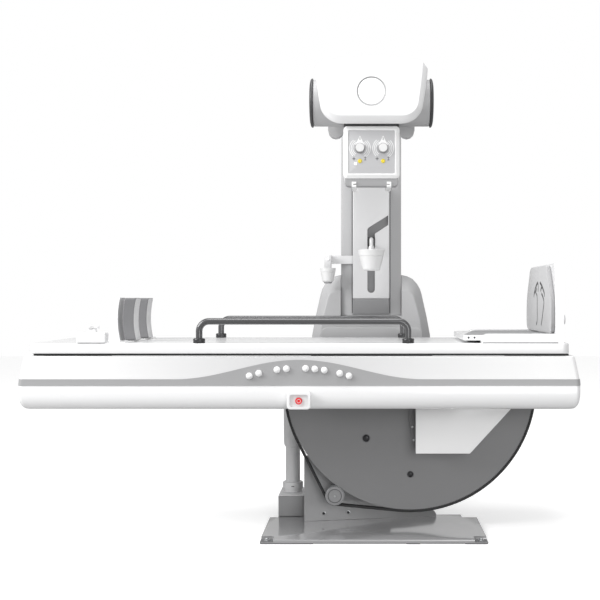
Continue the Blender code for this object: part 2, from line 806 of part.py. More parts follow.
# Cradle: a welded frame of two beams, two cross members and the plate behind the sector's tongue
plate_front = SECTOR_FRONT + SECTOR_THICK + GAP
cradle_z = (TILT_Z - CRADLE_HEIGHT / 2, TILT_Z + CRADLE_HEIGHT / 2)
cross_z = (TILT_Z + 0.005, cradle_z[1])
ends = (TILT_X - cradle_half, TILT_X + cradle_half)
cradle_frame = box("cradle_frame", ends, (inner_face, CRADLE_HALF_WIDTH), cradle_z, GREY)
front_beam = box("front_beam", ends, (-CRADLE_HALF_WIDTH, -inner_face), cradle_z, cutter=True)
cross_head = box(
    "cross_head", (ends[0], ends[0] + CRADLE_BEAM), (-CRADLE_HALF_WIDTH + 0.01, inner_face + 0.01), cross_z, cutter=True
)
cross_foot = box(
    "cross_foot", (ends[1] - CRADLE_BEAM, ends[1]), (-CRADLE_HALF_WIDTH + 0.01, inner_face + 0.01), cross_z, cutter=True
)
tongue_plate = box(
    "tongue_plate",
    (ends[0] + CRADLE_BEAM - 0.01, ends[1] - CRADLE_BEAM + 0.01),
    (plate_front, plate_front + CRADLE_PLATE),
    (cradle_z[0] + 0.005, cradle_z[1] - 0.001),
    cutter=True,
)
join(cradle_frame, cross_head, cross_foot, front_beam, tongue_plate)
cut(cradle_frame, rod("seat", bush_bore, "Y", (TILT_X, 0.0, TILT_Z), 1.0, cutter=True))

# White cover hung on the sector's front face, a shell open behind with a slanted foot side
cover_bottom = chord_z - COVER_DROP
cover_slope = 0.70
cover_outline = [
    (COVER_LEFT, cover_bottom),
    (COVER_RIGHT - (COVER_RIGHT - COVER_LEFT) * (1 - cover_slope) * 1.5, cover_bottom),
    (COVER_RIGHT, chord_z),
    (COVER_LEFT, chord_z),
]
cover_front = SECTOR_FRONT - GAP - COVER_THICK
cradle_cover = prism("cradle_cover", cover_outline, COVER_THICK, WHITE, at=(0.0, cover_front, 0.0))
hollow = prism(
    "hollow",
    [
        (COVER_LEFT + 0.004, cover_bottom + 0.004),
        (cover_outline[1][0] - 0.005, cover_bottom + 0.004),
        (COVER_RIGHT - 0.010, chord_z - 0.004),
        (COVER_LEFT + 0.004, chord_z - 0.004),
    ],
    COVER_THICK,
    cutter=True,
    at=(0.0, cover_front + 0.004, 0.0),
)
cut(cradle_cover, hollow)

# Shift runners on the cradle, each a channel round a rail of the table body
rail_inner = FRAME_BEAM_Y - FRAME_BEAM_WIDTH / 2 - GAP - SHIFT_RAIL
runner_back = CRADLE_HALF_WIDTH - GAP / 2
runner_half = SHIFT_RAIL / 2 + RUNNING_GAP + RUNNER_WALL
groove_half = SHIFT_RAIL / 2 + RUNNING_GAP / 2
runner_front = rail_inner + SHIFT_RAIL / 2
for side, sign in (("front", -1), ("rear", 1)):
    section = [
        (sign * runner_back, TILT_Z - runner_half),
        (sign * runner_front, TILT_Z - runner_half),
        (sign * runner_front, TILT_Z - groove_half),
        (sign * (rail_inner - GAP), TILT_Z - groove_half),
        (sign * (rail_inner - GAP), TILT_Z + groove_half),
        (sign * runner_front, TILT_Z + groove_half),
        (sign * runner_front, TILT_Z + runner_half),
        (sign * runner_back, TILT_Z + runner_half),
    ]
    runner = prism("runner", section, CRADLE_LENGTH - 2 * RUNNING_GAP, cutter=True, plane="YZ")
    runner.location.x = ends[0] + RUNNING_GAP
    join(cradle_frame, runner)

carry(
    "tilt_axis",
    (TILT_X, 0.0, TILT_Z),
    sector_gear,
    drive_belt,
    cradle_frame,
    cradle_cover,
    trunnion_bush_front,
    trunnion_bush_rear,
)

# Cable riser: junction box on the base plate, lock ring, tube and the soft sleeve over it
junction_front = base_back + 0.02
box(
    "junction_box",
    (RISER_X - JUNCTION_WIDTH / 2, RISER_X + JUNCTION_WIDTH / 2),
    (junction_front, junction_front + JUNCTION_DEPTH),
    (floor_top, floor_top + JUNCTION_HEIGHT),
    GREY,
    round_by=0.003,
)
riser_foot = floor_top + JUNCTION_HEIGHT + GAP
riser_tube = rod(
    "riser_tube",
    RISER_RADIUS,
    "Z",
    (RISER_X, RISER_Y, (riser_foot + RISER_TOP) / 2),
    RISER_TOP - riser_foot,
    PALE,
    sides=24,
)
ring_inner = RISER_RADIUS + GAP
ring_outer = ring_inner + RISER_RING_WALL
ring = turned(
    "ring",
    [
        (ring_outer - 0.003, RISER_RING_HEIGHT),
        (ring_outer, RISER_RING_HEIGHT - 0.003),
        (ring_outer, 0.012),
        (ring_outer - 0.004, 0.010),
        (ring_outer - 0.004, 0.0),
        (RISER_RADIUS - 0.002, 0.0),
        (RISER_RADIUS - 0.002, RISER_RING_HEIGHT),
        (ring_outer - 0.003, RISER_RING_HEIGHT),
    ],
    "Z",
    (RISER_X, RISER_Y, riser_foot),
    cutter=True,
    steps=24,
)
join(riser_tube, ring)
sleeve_outer = RISER_RADIUS + GAP + SLEEVE_WALL
sleeve_height = body_bottom - 0.004 - SLEEVE_BOTTOM
turned(
    "riser_sleeve",
    [
        (0.0, sleeve_height),
        (sleeve_outer, sleeve_height),
        (sleeve_outer, 0.025),
        (sleeve_outer - 0.003, 0.008),
        (ring_inner + 0.002, 0.0),
        (ring_inner, 0.0),
        (ring_inner, sleeve_height - 0.004),
        (0.0, sleeve_height - 0.004),
    ],
    "Z",
    (RISER_X, RISER_Y, SLEEVE_BOTTOM),
    PALE,
)

# Table body: ladder frame of two long beams and cross members that leave the well for the cradle
well = (TILT_X - WELL_HEAD, TILT_X + WELL_FOOT)
frame_end = half_table - END_CORNER - 0.02
frame_z = (TILT_Z - FRAME_BEAM_HEIGHT / 2, TILT_Z + FRAME_BEAM_HEIGHT / 2)
beam_y = (FRAME_BEAM_Y - FRAME_BEAM_WIDTH / 2, FRAME_BEAM_Y + FRAME_BEAM_WIDTH / 2)
table_frame = box("table_frame", (-frame_end, frame_end), (-beam_y[1], -beam_y[0]), frame_z, GREY)
rear_beam = box("rear_beam", (-frame_end, frame_end), beam_y, frame_z, cutter=True)
members = [rear_beam]
cross_places = (-frame_end + 0.02, -0.62, well[0] - FRAME_CROSS, well[1], frame_end - 0.02 - FRAME_CROSS)
for left in cross_places:
    members.append(
        box(
            "member",
            (left, left + FRAME_CROSS),
            (-beam_y[0] - 0.01, beam_y[0] + 0.01),
            (frame_z[0] + 0.005, frame_z[1] - 0.005),
            cutter=True,
        )
    )
    # Outriggers run from each cross member to the fascias, or to the end caps at the table's ends
    wall = END_CAP_WALL if left in (cross_places[0], cross_places[-1]) else BODY_WALL
    reach = -body_front - wall - GAP
    members.append(
        box("outrigger", (left + 0.01, left + 0.04), (-reach, reach), (OUTRIGGER_Z, OUTRIGGER_Z + 0.04), cutter=True)
    )
join(table_frame, *members)
body_parts = [table_frame]
for side, sign in (("front", -1), ("rear", 1)):
    y = sorted((sign * rail_inner, sign * (rail_inner + SHIFT_RAIL)))
    rail_z = (TILT_Z - SHIFT_RAIL / 2, TILT_Z + SHIFT_RAIL / 2)
    y[1 if sign > 0 else 0] += sign * (GAP + RUNNING_GAP)
    rail = box("rail", (well[0] + 0.03, well[1] - 0.005), y, rail_z, cutter=True)
    join(table_frame, rail)

# Fascias: bent shells whose lower edge curves under the body, with hollow ends that cap them
cap_start = half_table - END_CAP_LENGTH


def fascia_section(sign, top):
    outer = [(body_front, top)]
    outer += [(y, z) for y, z in arc((body_front + BELLY_RADIUS, body_bottom + BELLY_RADIUS), BELLY_RADIUS, 180, 270, 7)]
    lip = 0.03
    outer.append((body_front + BELLY_RADIUS + lip, body_bottom))
    inner_radius = BELLY_RADIUS - BODY_WALL
    inner = [(body_front + BELLY_RADIUS + lip, body_bottom + BODY_WALL)]
    inner += arc((body_front + BELLY_RADIUS, body_bottom + BELLY_RADIUS), inner_radius, 270, 180, 7)
    inner.append((body_front + BODY_WALL, top))
    return [(-sign * y, z) for y, z in outer + inner]


fascia_length = 2 * cap_start
front_fascia = prism(
    "front_fascia", fascia_section(-1, body_top), fascia_length, WHITE, plane="YZ", at=(-cap_start, 0.0, 0.0)
)
rear_top = TABLETOP_HEIGHT - TABLETOP_THICK - 0.055
rear_fascia = prism(
    "rear_fascia", fascia_section(1, rear_top), fascia_length, WHITE, plane="YZ", at=(-cap_start, 0.0, 0.0)
)
body_parts += [front_fascia, rear_fascia]


def end_block(name, sign, inset, radius, segments, cutter=False):
    """A block whose end leans in towards the top, with its outer corners rounded; inset shrinks it."""
    outer = half_table - inset
    inner = cap_start + GAP if not cutter else cap_start - 0.01
    half_width = -body_front - inset
    levels = (body_bottom + inset, body_top - END_CAP_SLOPE_Z, body_top - inset)
    obj = box(
        name,
        sorted((sign * inner, sign * outer)),
        (-half_width, half_width),
        (levels[0], levels[2]),
        WHITE,
        cutter=cutter,
    )
    middle_x = sign * (inner + outer) / 2
    middle_z = (levels[0] + levels[2]) / 2
    work = bmesh.new()
    work.from_mesh(obj.data)
    bmesh.ops.bisect_plane(
        work,
        geom=list(work.verts) + list(work.edges) + list(work.faces),
        plane_co=(0.0, 0.0, levels[1] - middle_z),
        plane_no=(0.0, 0.0, 1.0),
    )
    low = levels[0] - middle_z
    outer_x = sign * outer - middle_x
    belly = []
    for edge in work.edges:
        ends_low = all(abs(v.co.z - low) < 1e-4 for v in edge.verts)
        ends_out = all(abs(v.co.x - outer_x) < 1e-4 for v in edge.verts)
        lengthwise = edge.verts[0].co.y * edge.verts[1].co.y > 0
        upright = abs(edge.verts[0].co.z - edge.verts[1].co.z) > 0.01
        if (ends_low and (ends_out or lengthwise)) or (ends_out and upright):
            belly.append(edge)
    for vert in work.verts:
        if abs(vert.co.x - outer_x) < 1e-4 and vert.co.z > levels[1] - middle_z + 1e-4:
            vert.co.x -= sign * END_CAP_SLOPE
    bmesh.ops.bevel(work, geom=belly, offset=radius, segments=segments, profile=0.5, affect="EDGES")
    work.to_mesh(obj.data)
    work.free()
    return obj


def end_cap(name, sign):
    """A hollow moulded end, open towards the fascias."""
    cap = end_block(name, sign, 0.0, BELLY_RADIUS, 6)
    room = end_block("room", sign, END_CAP_WALL, BELLY_RADIUS - END_CAP_WALL, 4, cutter=True)
    return cut(cap, room)


body_parts += [end_cap("head_end_cap", -1), end_cap("foot_end_cap", 1)]

# A belly pan closes the underside on the head side of the well
pan_y = -body_front - BELLY_RADIUS - 0.03 - GAP
pan_x = (-cap_start + GAP, well[0] - FRAME_CROSS)
body_parts.append(box("belly_pan", pan_x, (-pan_y, pan_y), (body_bottom, body_bottom + PAN_THICK), WHITE))

# Grey band along the front, rising in a smooth crest round the controls
rise = BAND_RISE_LENGTH
band_left = -half_table + END_CORNER + 0.005


def band_top(x):
    share = min(abs(x) / rise, 1.0)
    return BAND_BOTTOM + BAND_HEIGHT + BAND_CREST * (0.5 + 0.5 * math.cos(math.pi * share))


crest_points = [-rise + 2 * rise * i / 24 for i in range(25)]
band_outline = [(band_left, BAND_BOTTOM), (-band_left, BAND_BOTTOM)]
band_outline += [(-band_left, BAND_BOTTOM + BAND_HEIGHT)]
band_outline += [(x, band_top(x)) for x in reversed(crest_points)]
band_outline += [(band_left, BAND_BOTTOM + BAND_HEIGHT)]
band_front = body_front - GAP - BAND_THICK
decor_band = prism("decor_band", band_outline, BAND_THICK, GREY, at=(0.0, band_front, 0.0))
body_parts.append(decor_band)

# Nine domed control buttons, each in a hole through the band and the fascia
button_back = body_front + BODY_WALL + 0.002
button_front = band_front - 0.005
hole_radius = BUTTON_RADIUS + 0.0006
button_sides = 12


def button_z(x):
    return BUTTON_CREST - BUTTON_CURVE * x * x


for panel in (decor_band, front_fascia):
    holes = []
    for x in BUTTON_PLACES:
        holes.append(
            rod("hole", hole_radius, "Y", (x, body_front, button_z(x)), 0.05, cutter=True, sides=button_sides)
        )
    cut(panel, *holes)
for count, x in enumerate(BUTTON_PLACES, 1):
    length = button_back - button_front
    profile = [
        (0.0, length + BUTTON_DOME),
        (BUTTON_RADIUS * 0.55, length + BUTTON_DOME * 0.72),
        (BUTTON_RADIUS, length),
        (BUTTON_RADIUS, 0.0),
        (0.0, 0.0),
    ]
    name = "control_button_" + str(count)
    turned(name, profile, "Y", (x, button_back, button_z(x)), WHITE, steps=button_sides)

# Emergency stop: a frame on the fascia with a red button in its recess
estop_z = (ESTOP_Z - ESTOP_HEIGHT / 2, ESTOP_Z + ESTOP_HEIGHT / 2)
estop_x = (-ESTOP_WIDTH / 2, ESTOP_WIDTH / 2)
estop_back = body_front - GAP
estop_front = estop_back - ESTOP_DEPTH
estop_housing = prism(
    "emergency_stop_housing",
    rounded(estop_x, estop_z, 0.012, 3),
    ESTOP_DEPTH,
    WHITE,
    at=(0.0, estop_front, 0.0),
)
recess_depth = 0.014
recess = prism(
    "recess",
    rounded((estop_x[0] + 0.011, estop_x[1] - 0.011), (estop_z[0] + 0.0105, estop_z[1] - 0.014), 0.008, 3),
    recess_depth + 0.01,
    cutter=True,
    at=(0.0, estop_front - 0.01, 0.0),
)
estop_button_z = ESTOP_Z - 0.0025
stem_hole = rod("stem_hole", 0.0085, "Y", (0.0, estop_front, estop_button_z), 0.06, cutter=True, sides=20)
cut(estop_housing, recess, stem_hole)
body_parts.append(estop_housing)
stem_back = estop_front + recess_depth + 0.008
cap_back = estop_front + recess_depth - ESTOP_TRAVEL - 0.0005
estop_stem = stem_back - cap_back
estop_cap = cap_back - estop_front + 0.002
turned(
    "emergency_stop_button",
    [
        (0.0, estop_stem + estop_cap),
        (ESTOP_RADIUS - 0.003, estop_stem + estop_cap - 0.0005),
        (ESTOP_RADIUS, estop_stem + estop_cap - 0.003),
        (ESTOP_RADIUS, estop_stem),
        (0.008, estop_stem),
        (0.008, 0.0),
        (0.0, 0.0),
    ],
    "Y",
    (0.0, stem_back, estop_button_z),
    RED,
    steps=24,
)

# Cross slides that carry the tabletop, and the two rails of the column behind the body
slide_x = cap_start - SLIDE_WIDTH - 0.004
slide_y = FRAME_BEAM_Y + 0.005
slide_z = (frame_z[1] - RUNNING_GAP, TABLETOP_HEIGHT - TABLETOP_THICK - GAP)
for x in (-slide_x - SLIDE_WIDTH, slide_x):
    slide = box("slide", (x, x + SLIDE_WIDTH), (-slide_y, slide_y), slide_z, cutter=True)
    join(table_frame, slide)
rail_y = -body_front + GAP
rail_low = body_bottom + BELLY_RADIUS + 0.011
rail_high = rear_top - 0.020
column_rail = prism(
    "column_rail",
    [
        (rail_y, rail_low),
        (rail_y + RAIL_SIZE, rail_low),
        (rail_y + RAIL_SIZE, rail_low + RAIL_SIZE),
        (rail_y + 0.006, rail_low + RAIL_SIZE),
        (rail_y + 0.006, rail_high - RAIL_SIZE),
        (rail_y + RAIL_SIZE, rail_high - RAIL_SIZE),
        (rail_y + RAIL_SIZE, rail_high),
        (rail_y, rail_high),
    ],
    2 * cap_start - 0.02,
    STEEL,
    plane="YZ",
    at=(0.01 - cap_start, 0.0, 0.0),
)
body_parts.append(column_rail)
carry("shift_guide", (TILT_X, 0.0, TILT_Z), *body_parts)

# Tabletop: one flat slab that floats sideways on the cross slides
half_top = TABLETOP_LENGTH / 2
top_outline = rounded((-half_top, half_top), (-TABLETOP_WIDTH / 2, TABLETOP_WIDTH / 2), 0.03, 5)
tabletop = prism(
    "tabletop", top_outline, TABLETOP_THICK, WHITE, plane="XY", at=(0.0, 0.0, TABLETOP_HEIGHT - TABLETOP_THICK)
)
bevel(tabletop, 0.004)

# Handrails on foot collars, along both edges of the tabletop
rest_z = TABLETOP_HEIGHT + GAP
for name, y in (("handrail_front", -HANDRAIL_Y), ("handrail_rear", HANDRAIL_Y)):
    top = TABLETOP_HEIGHT + HANDRAIL_HEIGHT
    route = [(HANDRAIL_HEAD, y, rest_z), (HANDRAIL_HEAD, y, top), (HANDRAIL_FOOT, y, top), (HANDRAIL_FOOT, y, rest_z)]
    rail = pipe(name, route, HANDRAIL_RADIUS, DARK, bend=HANDRAIL_BEND, sides=3)
    for x in (HANDRAIL_HEAD, HANDRAIL_FOOT):
        collar = rod(
            "collar", COLLAR_RADIUS, "Z", (x, y, rest_z + COLLAR_HEIGHT / 2), COLLAR_HEIGHT, cutter=True, sides=20
        )
        join(rail, collar)
    set_origin(rail, (HANDRAIL_HEAD, y, rest_z))

# Shoulder rests: a bar across the tabletop, its clamp block and knob, two curved pads on shells
clamp_foot = CLAMP_HEAD + CLAMP_LENGTH
clamp_y = (-TABLETOP_WIDTH / 2 - 0.004, -TABLETOP_WIDTH / 2 - 0.004 + CLAMP_DEPTH)
rest_clamp = box(
    "shoulder_rest_frame",
    (CLAMP_HEAD, clamp_foot),
    clamp_y,
    (rest_z, rest_z + CLAMP_HEIGHT),
    WHITE,
    round_by=0.006,
    segments=2,
)
plate_x = (CLAMP_HEAD + 0.04, REST_PLATE_FOOT)
plate_top = rest_z + REST_PLATE_THICK
rest_bar = box("bar", plate_x, (clamp_y[0] + 0.01, TABLETOP_WIDTH / 2 - 0.06), (rest_z, plate_top), cutter=True)
rest_frame = settle(rest_clamp)
join(rest_frame, rest_bar)
clamp_middle = (CLAMP_HEAD + clamp_foot) / 2
clamp_top = rest_z + CLAMP_HEIGHT
rest_knob = turned(
    "shoulder_rest_knob",
    [
        (0.0, KNOB_STEM + KNOB_THICK),
        (KNOB_RADIUS - 0.003, KNOB_STEM + KNOB_THICK),
        (KNOB_RADIUS, KNOB_STEM + KNOB_THICK - 0.003),
        (KNOB_RADIUS, KNOB_STEM + 0.003),
        (KNOB_RADIUS - 0.004, KNOB_STEM),
        (0.017, KNOB_STEM - 0.003),
        (0.017, 0.003),
        (0.020, 0.0),
        (0.0, 0.0),
    ],
    "Z",
    (clamp_middle, (clamp_y[0] + clamp_y[1]) / 2, clamp_top + GAP),
    PALE,
    steps=28,
)
rest_parts = [rest_frame]
for side, sign in (("front", -1), ("rear", 1)):
    y = sign * PAD_HALF_SPAN - PAD_WIDTH / 2
    pad_bottom = plate_top + GAP
    pad_z = (pad_bottom, pad_bottom + PAD_HEIGHT)
    middle_z = (pad_z[0] + pad_z[1]) / 2
    reach = math.degrees(math.asin(PAD_HEIGHT / 2 / PAD_ARC_RADIUS))
    face_centre = (PAD_FACE_X + PAD_ARC_RADIUS, middle_z)
    back_radius = PAD_ARC_RADIUS + PAD_THICK
    back_reach = math.degrees(math.asin(PAD_HEIGHT / 2 / back_radius))
    outline = arc(face_centre, PAD_ARC_RADIUS, 180 - reach, 180 + reach, 8)
    outline += arc(face_centre, back_radius, 180 + back_reach, 180 - back_reach, 8)
    pad = prism("shoulder_pad_" + side, outline, PAD_WIDTH, PAD, at=(0.0, y, 0.0))
    shell_radius = back_radius + GAP
    shell_reach = math.degrees(math.asin(PAD_HEIGHT / 2 / shell_radius))
    shell_outline = arc(face_centre, shell_radius, 180 - shell_reach, 180 + shell_reach, 8)
    edge = PAD_FACE_X - PAD_THICK
    shell_outline[8] = (shell_outline[8][0], plate_top - RUNNING_GAP)
    shell_outline += [(edge - SHELL_THICK - 0.018, plate_top - RUNNING_GAP), (edge - 0.012, pad_z[1])]
    join(rest_frame, prism("shell", shell_outline, PAD_WIDTH, cutter=True, at=(0.0, y, 0.0)))
    rest_parts.append(pad)

# Footrest: two side cheeks joined by a platform, and the standing board in front of its shell
board_back = BOARD_X + BOARD_THICK
shell_back = board_back + GAP + BOARD_SHELL
cheek_left = shell_back - CHEEK_LENGTH
cheek_z = (rest_z, rest_z + FOOT_CHEEK_HEIGHT)
base_y = BOARD_WIDTH / 2
front_cheek = [
    (cheek_left, cheek_z[0]),
    (shell_back, cheek_z[0]),
    (shell_back, cheek_z[1]),
    *arc((cheek_left + 0.028, cheek_z[1] - 0.028), 0.028, 90, 180, 5),
]
footrest_base = prism("footrest_base", front_cheek, FOOT_CHEEK_WIDTH, WHITE, at=(0.0, -base_y, 0.0))
rear_cheek = prism("rear_cheek", front_cheek, FOOT_CHEEK_WIDTH, cutter=True, at=(0.0, base_y - FOOT_CHEEK_WIDTH, 0.0))
platform_left = cheek_left - 0.068
platform_z = (rest_z + 0.010, rest_z + 0.010 + PLATFORM_THICK)
platform_outline = [
    (platform_left + 0.012, -base_y + FOOT_CHEEK_WIDTH - 0.002),
    (shell_back - 0.002, -base_y + FOOT_CHEEK_WIDTH - 0.002),
    (shell_back - 0.002, base_y - FOOT_CHEEK_WIDTH + 0.002),
    (platform_left + 0.09, base_y - FOOT_CHEEK_WIDTH + 0.002),
    *arc((platform_left + 0.09, base_y - FOOT_CHEEK_WIDTH - 0.088), 0.09, 90, 180, 6),
    *arc((platform_left + 0.012, -base_y + FOOT_CHEEK_WIDTH + 0.010), 0.012, 180, 270, 3)[:-1],
]
platform = prism(
    "platform", platform_outline, PLATFORM_THICK, cutter=True, plane="XY", at=(0.0, 0.0, platform_z[0])
)
join(footrest_base, rear_cheek, platform)
board_z = (cheek_z[1] + GAP, cheek_z[1] + GAP + BOARD_HEIGHT)
taper = 0.012
board_corner = 0.035


def board_outline(inset):
    low = base_y - inset
    high = base_y - inset - taper
    top = board_z[1] - inset
    return [
        (-low, board_z[0]),
        (low, board_z[0]),
        *arc((high - board_corner, top - board_corner), board_corner, 0, 90, 5),
        *arc((-high + board_corner, top - board_corner), board_corner, 90, 180, 5),
    ]


footrest_board = prism(
    "footrest_board", board_outline(0.004), BOARD_THICK, PALE, plane="YZ", at=(BOARD_X, 0.0, 0.0)
)
board_shell = prism(
    "board_shell", board_outline(0.0), BOARD_SHELL, cutter=True, plane="YZ", at=(board_back + GAP, 0.0, 0.0)
)
board_shell.location.z = -2 * GAP
join(footrest_base, board_shell)
knob_z = board_z[0] + 0.055
footrest_knob = rod(
    "footrest_knob",
    FOOT_KNOB_RADIUS,
    "X",
    (shell_back + GAP + FOOT_KNOB_LENGTH / 2, -0.20, knob_z),
    FOOT_KNOB_LENGTH,
    PALE,
    sides=24,
    top_radius=FOOT_KNOB_RADIUS * 0.9,
)
carry("footrest_slide", (BOARD_X, 0.0, rest_z), footrest_base, footrest_board, footrest_knob)
carry("shoulder_rest_slide", (CLAMP_HEAD, 0.0, rest_z), rest_knob, *rest_parts)

# Foot of the column: a moulded housing with sloped shoulders, carried on the column rail
tower_back = TOWER_FRONT + TOWER_DEPTH
foot_half = TOWER_FOOT_WIDTH / 2
column_half = COLUMN_WIDTH / 2
clear = COLUMN_SEAT_CLEARANCE
shoulder = TOWER_SHOULDER_Z
flank = [(foot_half, TOWER_BOTTOM)]
flank += [(foot_half - inset, TOWER_BOTTOM + rise) for inset, rise in TOWER_FLANK]
flank.append((column_half + 0.006, shoulder))
housing_outline = [(TOWER_X + x, z) for x, z in flank] + [(TOWER_X - x, z) for x, z in reversed(flank)]
tower_housing = prism("tower_housing", housing_outline, TOWER_DEPTH, PALE, at=(0.0, TOWER_FRONT, 0.0))
bevel(tower_housing, 0.02, 2, angle=math.radians(60))
settle(tower_housing)
column_front = TOWER_FRONT + COLUMN_SET_BACK
column_back = column_front + COLUMN_DEPTH
column_bottom = COLUMN_BOTTOM
column_x = (TOWER_X - column_half, TOWER_X + column_half)
well_cut = box(
    "column_seat",
    (column_x[0] - clear, column_x[1] + clear),
    (column_front - clear, column_back + clear),
    (column_bottom - GAP, shoulder + 0.2),
    cutter=True,
)
panel_x = (TOWER_X - PANEL_WIDTH / 2, TOWER_X + PANEL_WIDTH / 2)
skirt_seat = box(
    "skirt_seat",
    (column_x[0] - clear, column_x[1] + clear),
    (TOWER_FRONT - 0.01, column_front),
    (SKIRT_BOTTOM - 0.004, shoulder + 0.2),
    cutter=True,
)
cut(tower_housing, well_cut, skirt_seat)
step = box(
    "step",
    (TOWER_X - foot_half + 0.045, TOWER_X + foot_half - 0.04),
    (TOWER_FRONT - STEP_THICK, TOWER_FRONT + COLUMN_SET_BACK / 2),
    (TOWER_BOTTOM + 0.02, STEP_TOP),
    cutter=True,
)
runner_y = rail_y + RAIL_SIZE + RUNNING_GAP
carriage = box(
    "carriage",
    (TOWER_X - foot_half + 0.04, TOWER_X + foot_half - 0.04),
    (runner_y, TOWER_FRONT + COLUMN_SET_BACK / 2),
    (rail_low, body_top),
    cutter=True,
)
tongue_z = (rail_low + RAIL_SIZE + RUNNING_GAP, rail_high - RAIL_SIZE - RUNNING_GAP)
rail_tongue = box(
    "rail_tongue",
    (TOWER_X - foot_half + 0.05, TOWER_X + foot_half - 0.05),
    (rail_y + 0.006 + GAP, runner_y + 0.01),
    tongue_z,
    cutter=True,
)
join(tower_housing, step, carriage, rail_tongue)

# Detector tray under the tabletop, on a bracket that reaches over the rear fascia
tray_top = TABLETOP_HEIGHT - TABLETOP_THICK - 0.006
bracket_z = (rear_top + 0.012, body_top - 0.004)
detector_tray = box(
    "detector_tray",
    (TOWER_X - TRAY_LENGTH / 2, TOWER_X + TRAY_LENGTH / 2),
    (-TRAY_WIDTH / 2, TRAY_WIDTH / 2),
    (tray_top - TRAY_THICK - 0.01, tray_top),
    DARK,
)
tray_arm = box(
    "tray_arm",
    (TOWER_X - 0.12, TOWER_X + 0.12),
    (TRAY_WIDTH / 2 - 0.01, runner_y - GAP),
    bracket_z,
    cutter=True,
)
join(detector_tray, tray_arm)

# Column: a hollow post, with the compression arm's slot down its front panel
column = box("column", column_x, (column_front, column_back), (column_bottom, COLUMN_TOP), PALE, round_by=0.012, segments=2)
settle(column)
inside = box(
    "inside",
    (column_x[0] + COLUMN_WALL, column_x[1] - COLUMN_WALL),
    (column_front + COLUMN_WALL, column_back - COLUMN_WALL),
    (column_bottom + COLUMN_WALL, COLUMN_TOP + 0.01),
    cutter=True,
)
cut(column, inside)
panel_back = column_front - GAP
panel_front = panel_back - PANEL_THICK
panel_outline = [
    (panel_x[0], PANEL_BOTTOM),
    (panel_x[1], PANEL_BOTTOM),
    (panel_x[1], PANEL_TOP - PANEL_NOTCH),
    (panel_x[1] - PANEL_NOTCH * 0.6, PANEL_TOP),
    (panel_x[0] + PANEL_NOTCH * 0.6, PANEL_TOP),
    (panel_x[0], PANEL_TOP - PANEL_NOTCH),
]
column_panel = prism("column_panel", panel_outline, PANEL_THICK, PALE, at=(0.0, panel_front, 0.0))
bevel(column_panel, 0.004)
settle(column_panel)
slot_x = (TOWER_X - SLOT_WIDTH / 2, TOWER_X + SLOT_WIDTH / 2)
slot_exit = panel_x[1] - 0.004
slot_outline = [
    *arc((TOWER_X, SLOT_BOTTOM + SLOT_WIDTH / 2), SLOT_WIDTH / 2, 180, 360, 8),
    (slot_x[1], SLOT_BEND - 0.012),
    (slot_exit, SLOT_BEND + 0.030),
    (slot_exit, SLOT_BEND + 0.030 + 0.046),
    (slot_x[0], SLOT_BEND + 0.012),
]
slot_depth = PANEL_THICK - 0.006
slot = prism("slot", slot_outline, slot_depth + 0.01, cutter=True, at=(0.0, panel_front - 0.01, 0.0))
cut(column_panel, slot)
skirt_outline = [
    (panel_x[0] - SKIRT_OVERHANG, SKIRT_BOTTOM),
    (panel_x[1] + SKIRT_OVERHANG, SKIRT_BOTTOM),
    (panel_x[1] - 0.004, PANEL_BOTTOM + RUNNING_GAP),
    (panel_x[0] + 0.004, PANEL_BOTTOM + RUNNING_GAP),
]
skirt = prism("skirt", skirt_outline, PANEL_THICK - 0.01, cutter=True, at=(0.0, panel_front + 0.0099, 0.0))
join(column_panel, skirt)

# Compression arm, sliding in the slot, with the cone that it presses down on the patient
arm_back = panel_front + slot_depth - GAP
arm_tip = -COMPRESSOR_RADIUS
shoe_half = SLOT_WIDTH / 2 - GAP
compression_arm = box(
    "compression_arm",
    (TOWER_X - shoe_half, TOWER_X + shoe_half),
    (panel_front - 0.004, arm_back),
    (COMPRESSOR_Z - 0.03, COMPRESSOR_Z + 0.03),
    PALE,
)
reach = rod(
    "reach",
    COMPRESSOR_RADIUS,
    "Y",
    (TOWER_X, (panel_front + arm_tip) / 2, COMPRESSOR_Z),
    panel_front - arm_tip,
    cutter=True,
    sides=20,
)
drop = rod(
    "drop",
    COMPRESSOR_RADIUS * 0.95,
    "Z",
    (TOWER_X, 0.0, (COMPRESSOR_Z + CONE_TOP_Z) / 2 - 0.02),
    COMPRESSOR_Z - CONE_TOP_Z + 0.04,
    cutter=True,
    sides=20,
    top_radius=COMPRESSOR_RADIUS * 0.75,
)
join(compression_arm, reach, drop)


def cone_profile(scale, high):
    """A cup with a lip, open upwards; its floor carries the rod."""
    top = CONE_TOP_RADIUS * scale
    low = CONE_BOTTOM_RADIUS * scale
    wall = CONE_WALL
    return [
        (0.0, wall),
        (low - wall, wall),
        (top - wall, high),
        (top, high),
        (top - 0.004 * scale, high * 0.72),
        (low, 0.012 * scale),
        (low - 0.010 * scale, 0.0),
        (0.0, 0.0),
    ]


cone_bottom = CONE_TOP_Z - CONE_HEIGHT
compression_cone = turned(
    "compression_cone", cone_profile(1.0, CONE_HEIGHT), "Z", (TOWER_X, 0.0, cone_bottom), WHITE, steps=28
)
rod_foot = rod(
    "rod_foot",
    COMPRESSOR_RADIUS * 0.95,
    "Z",
    (TOWER_X, 0.0, (cone_bottom + CONE_TOP_Z - 0.04) / 2),
    CONE_TOP_Z - 0.04 - cone_bottom - GAP - CONE_WALL * 0.5,
    cutter=True,
    sides=20,
)
rod_foot.location.z += CONE_WALL * 0.25
join(compression_cone, rod_foot)

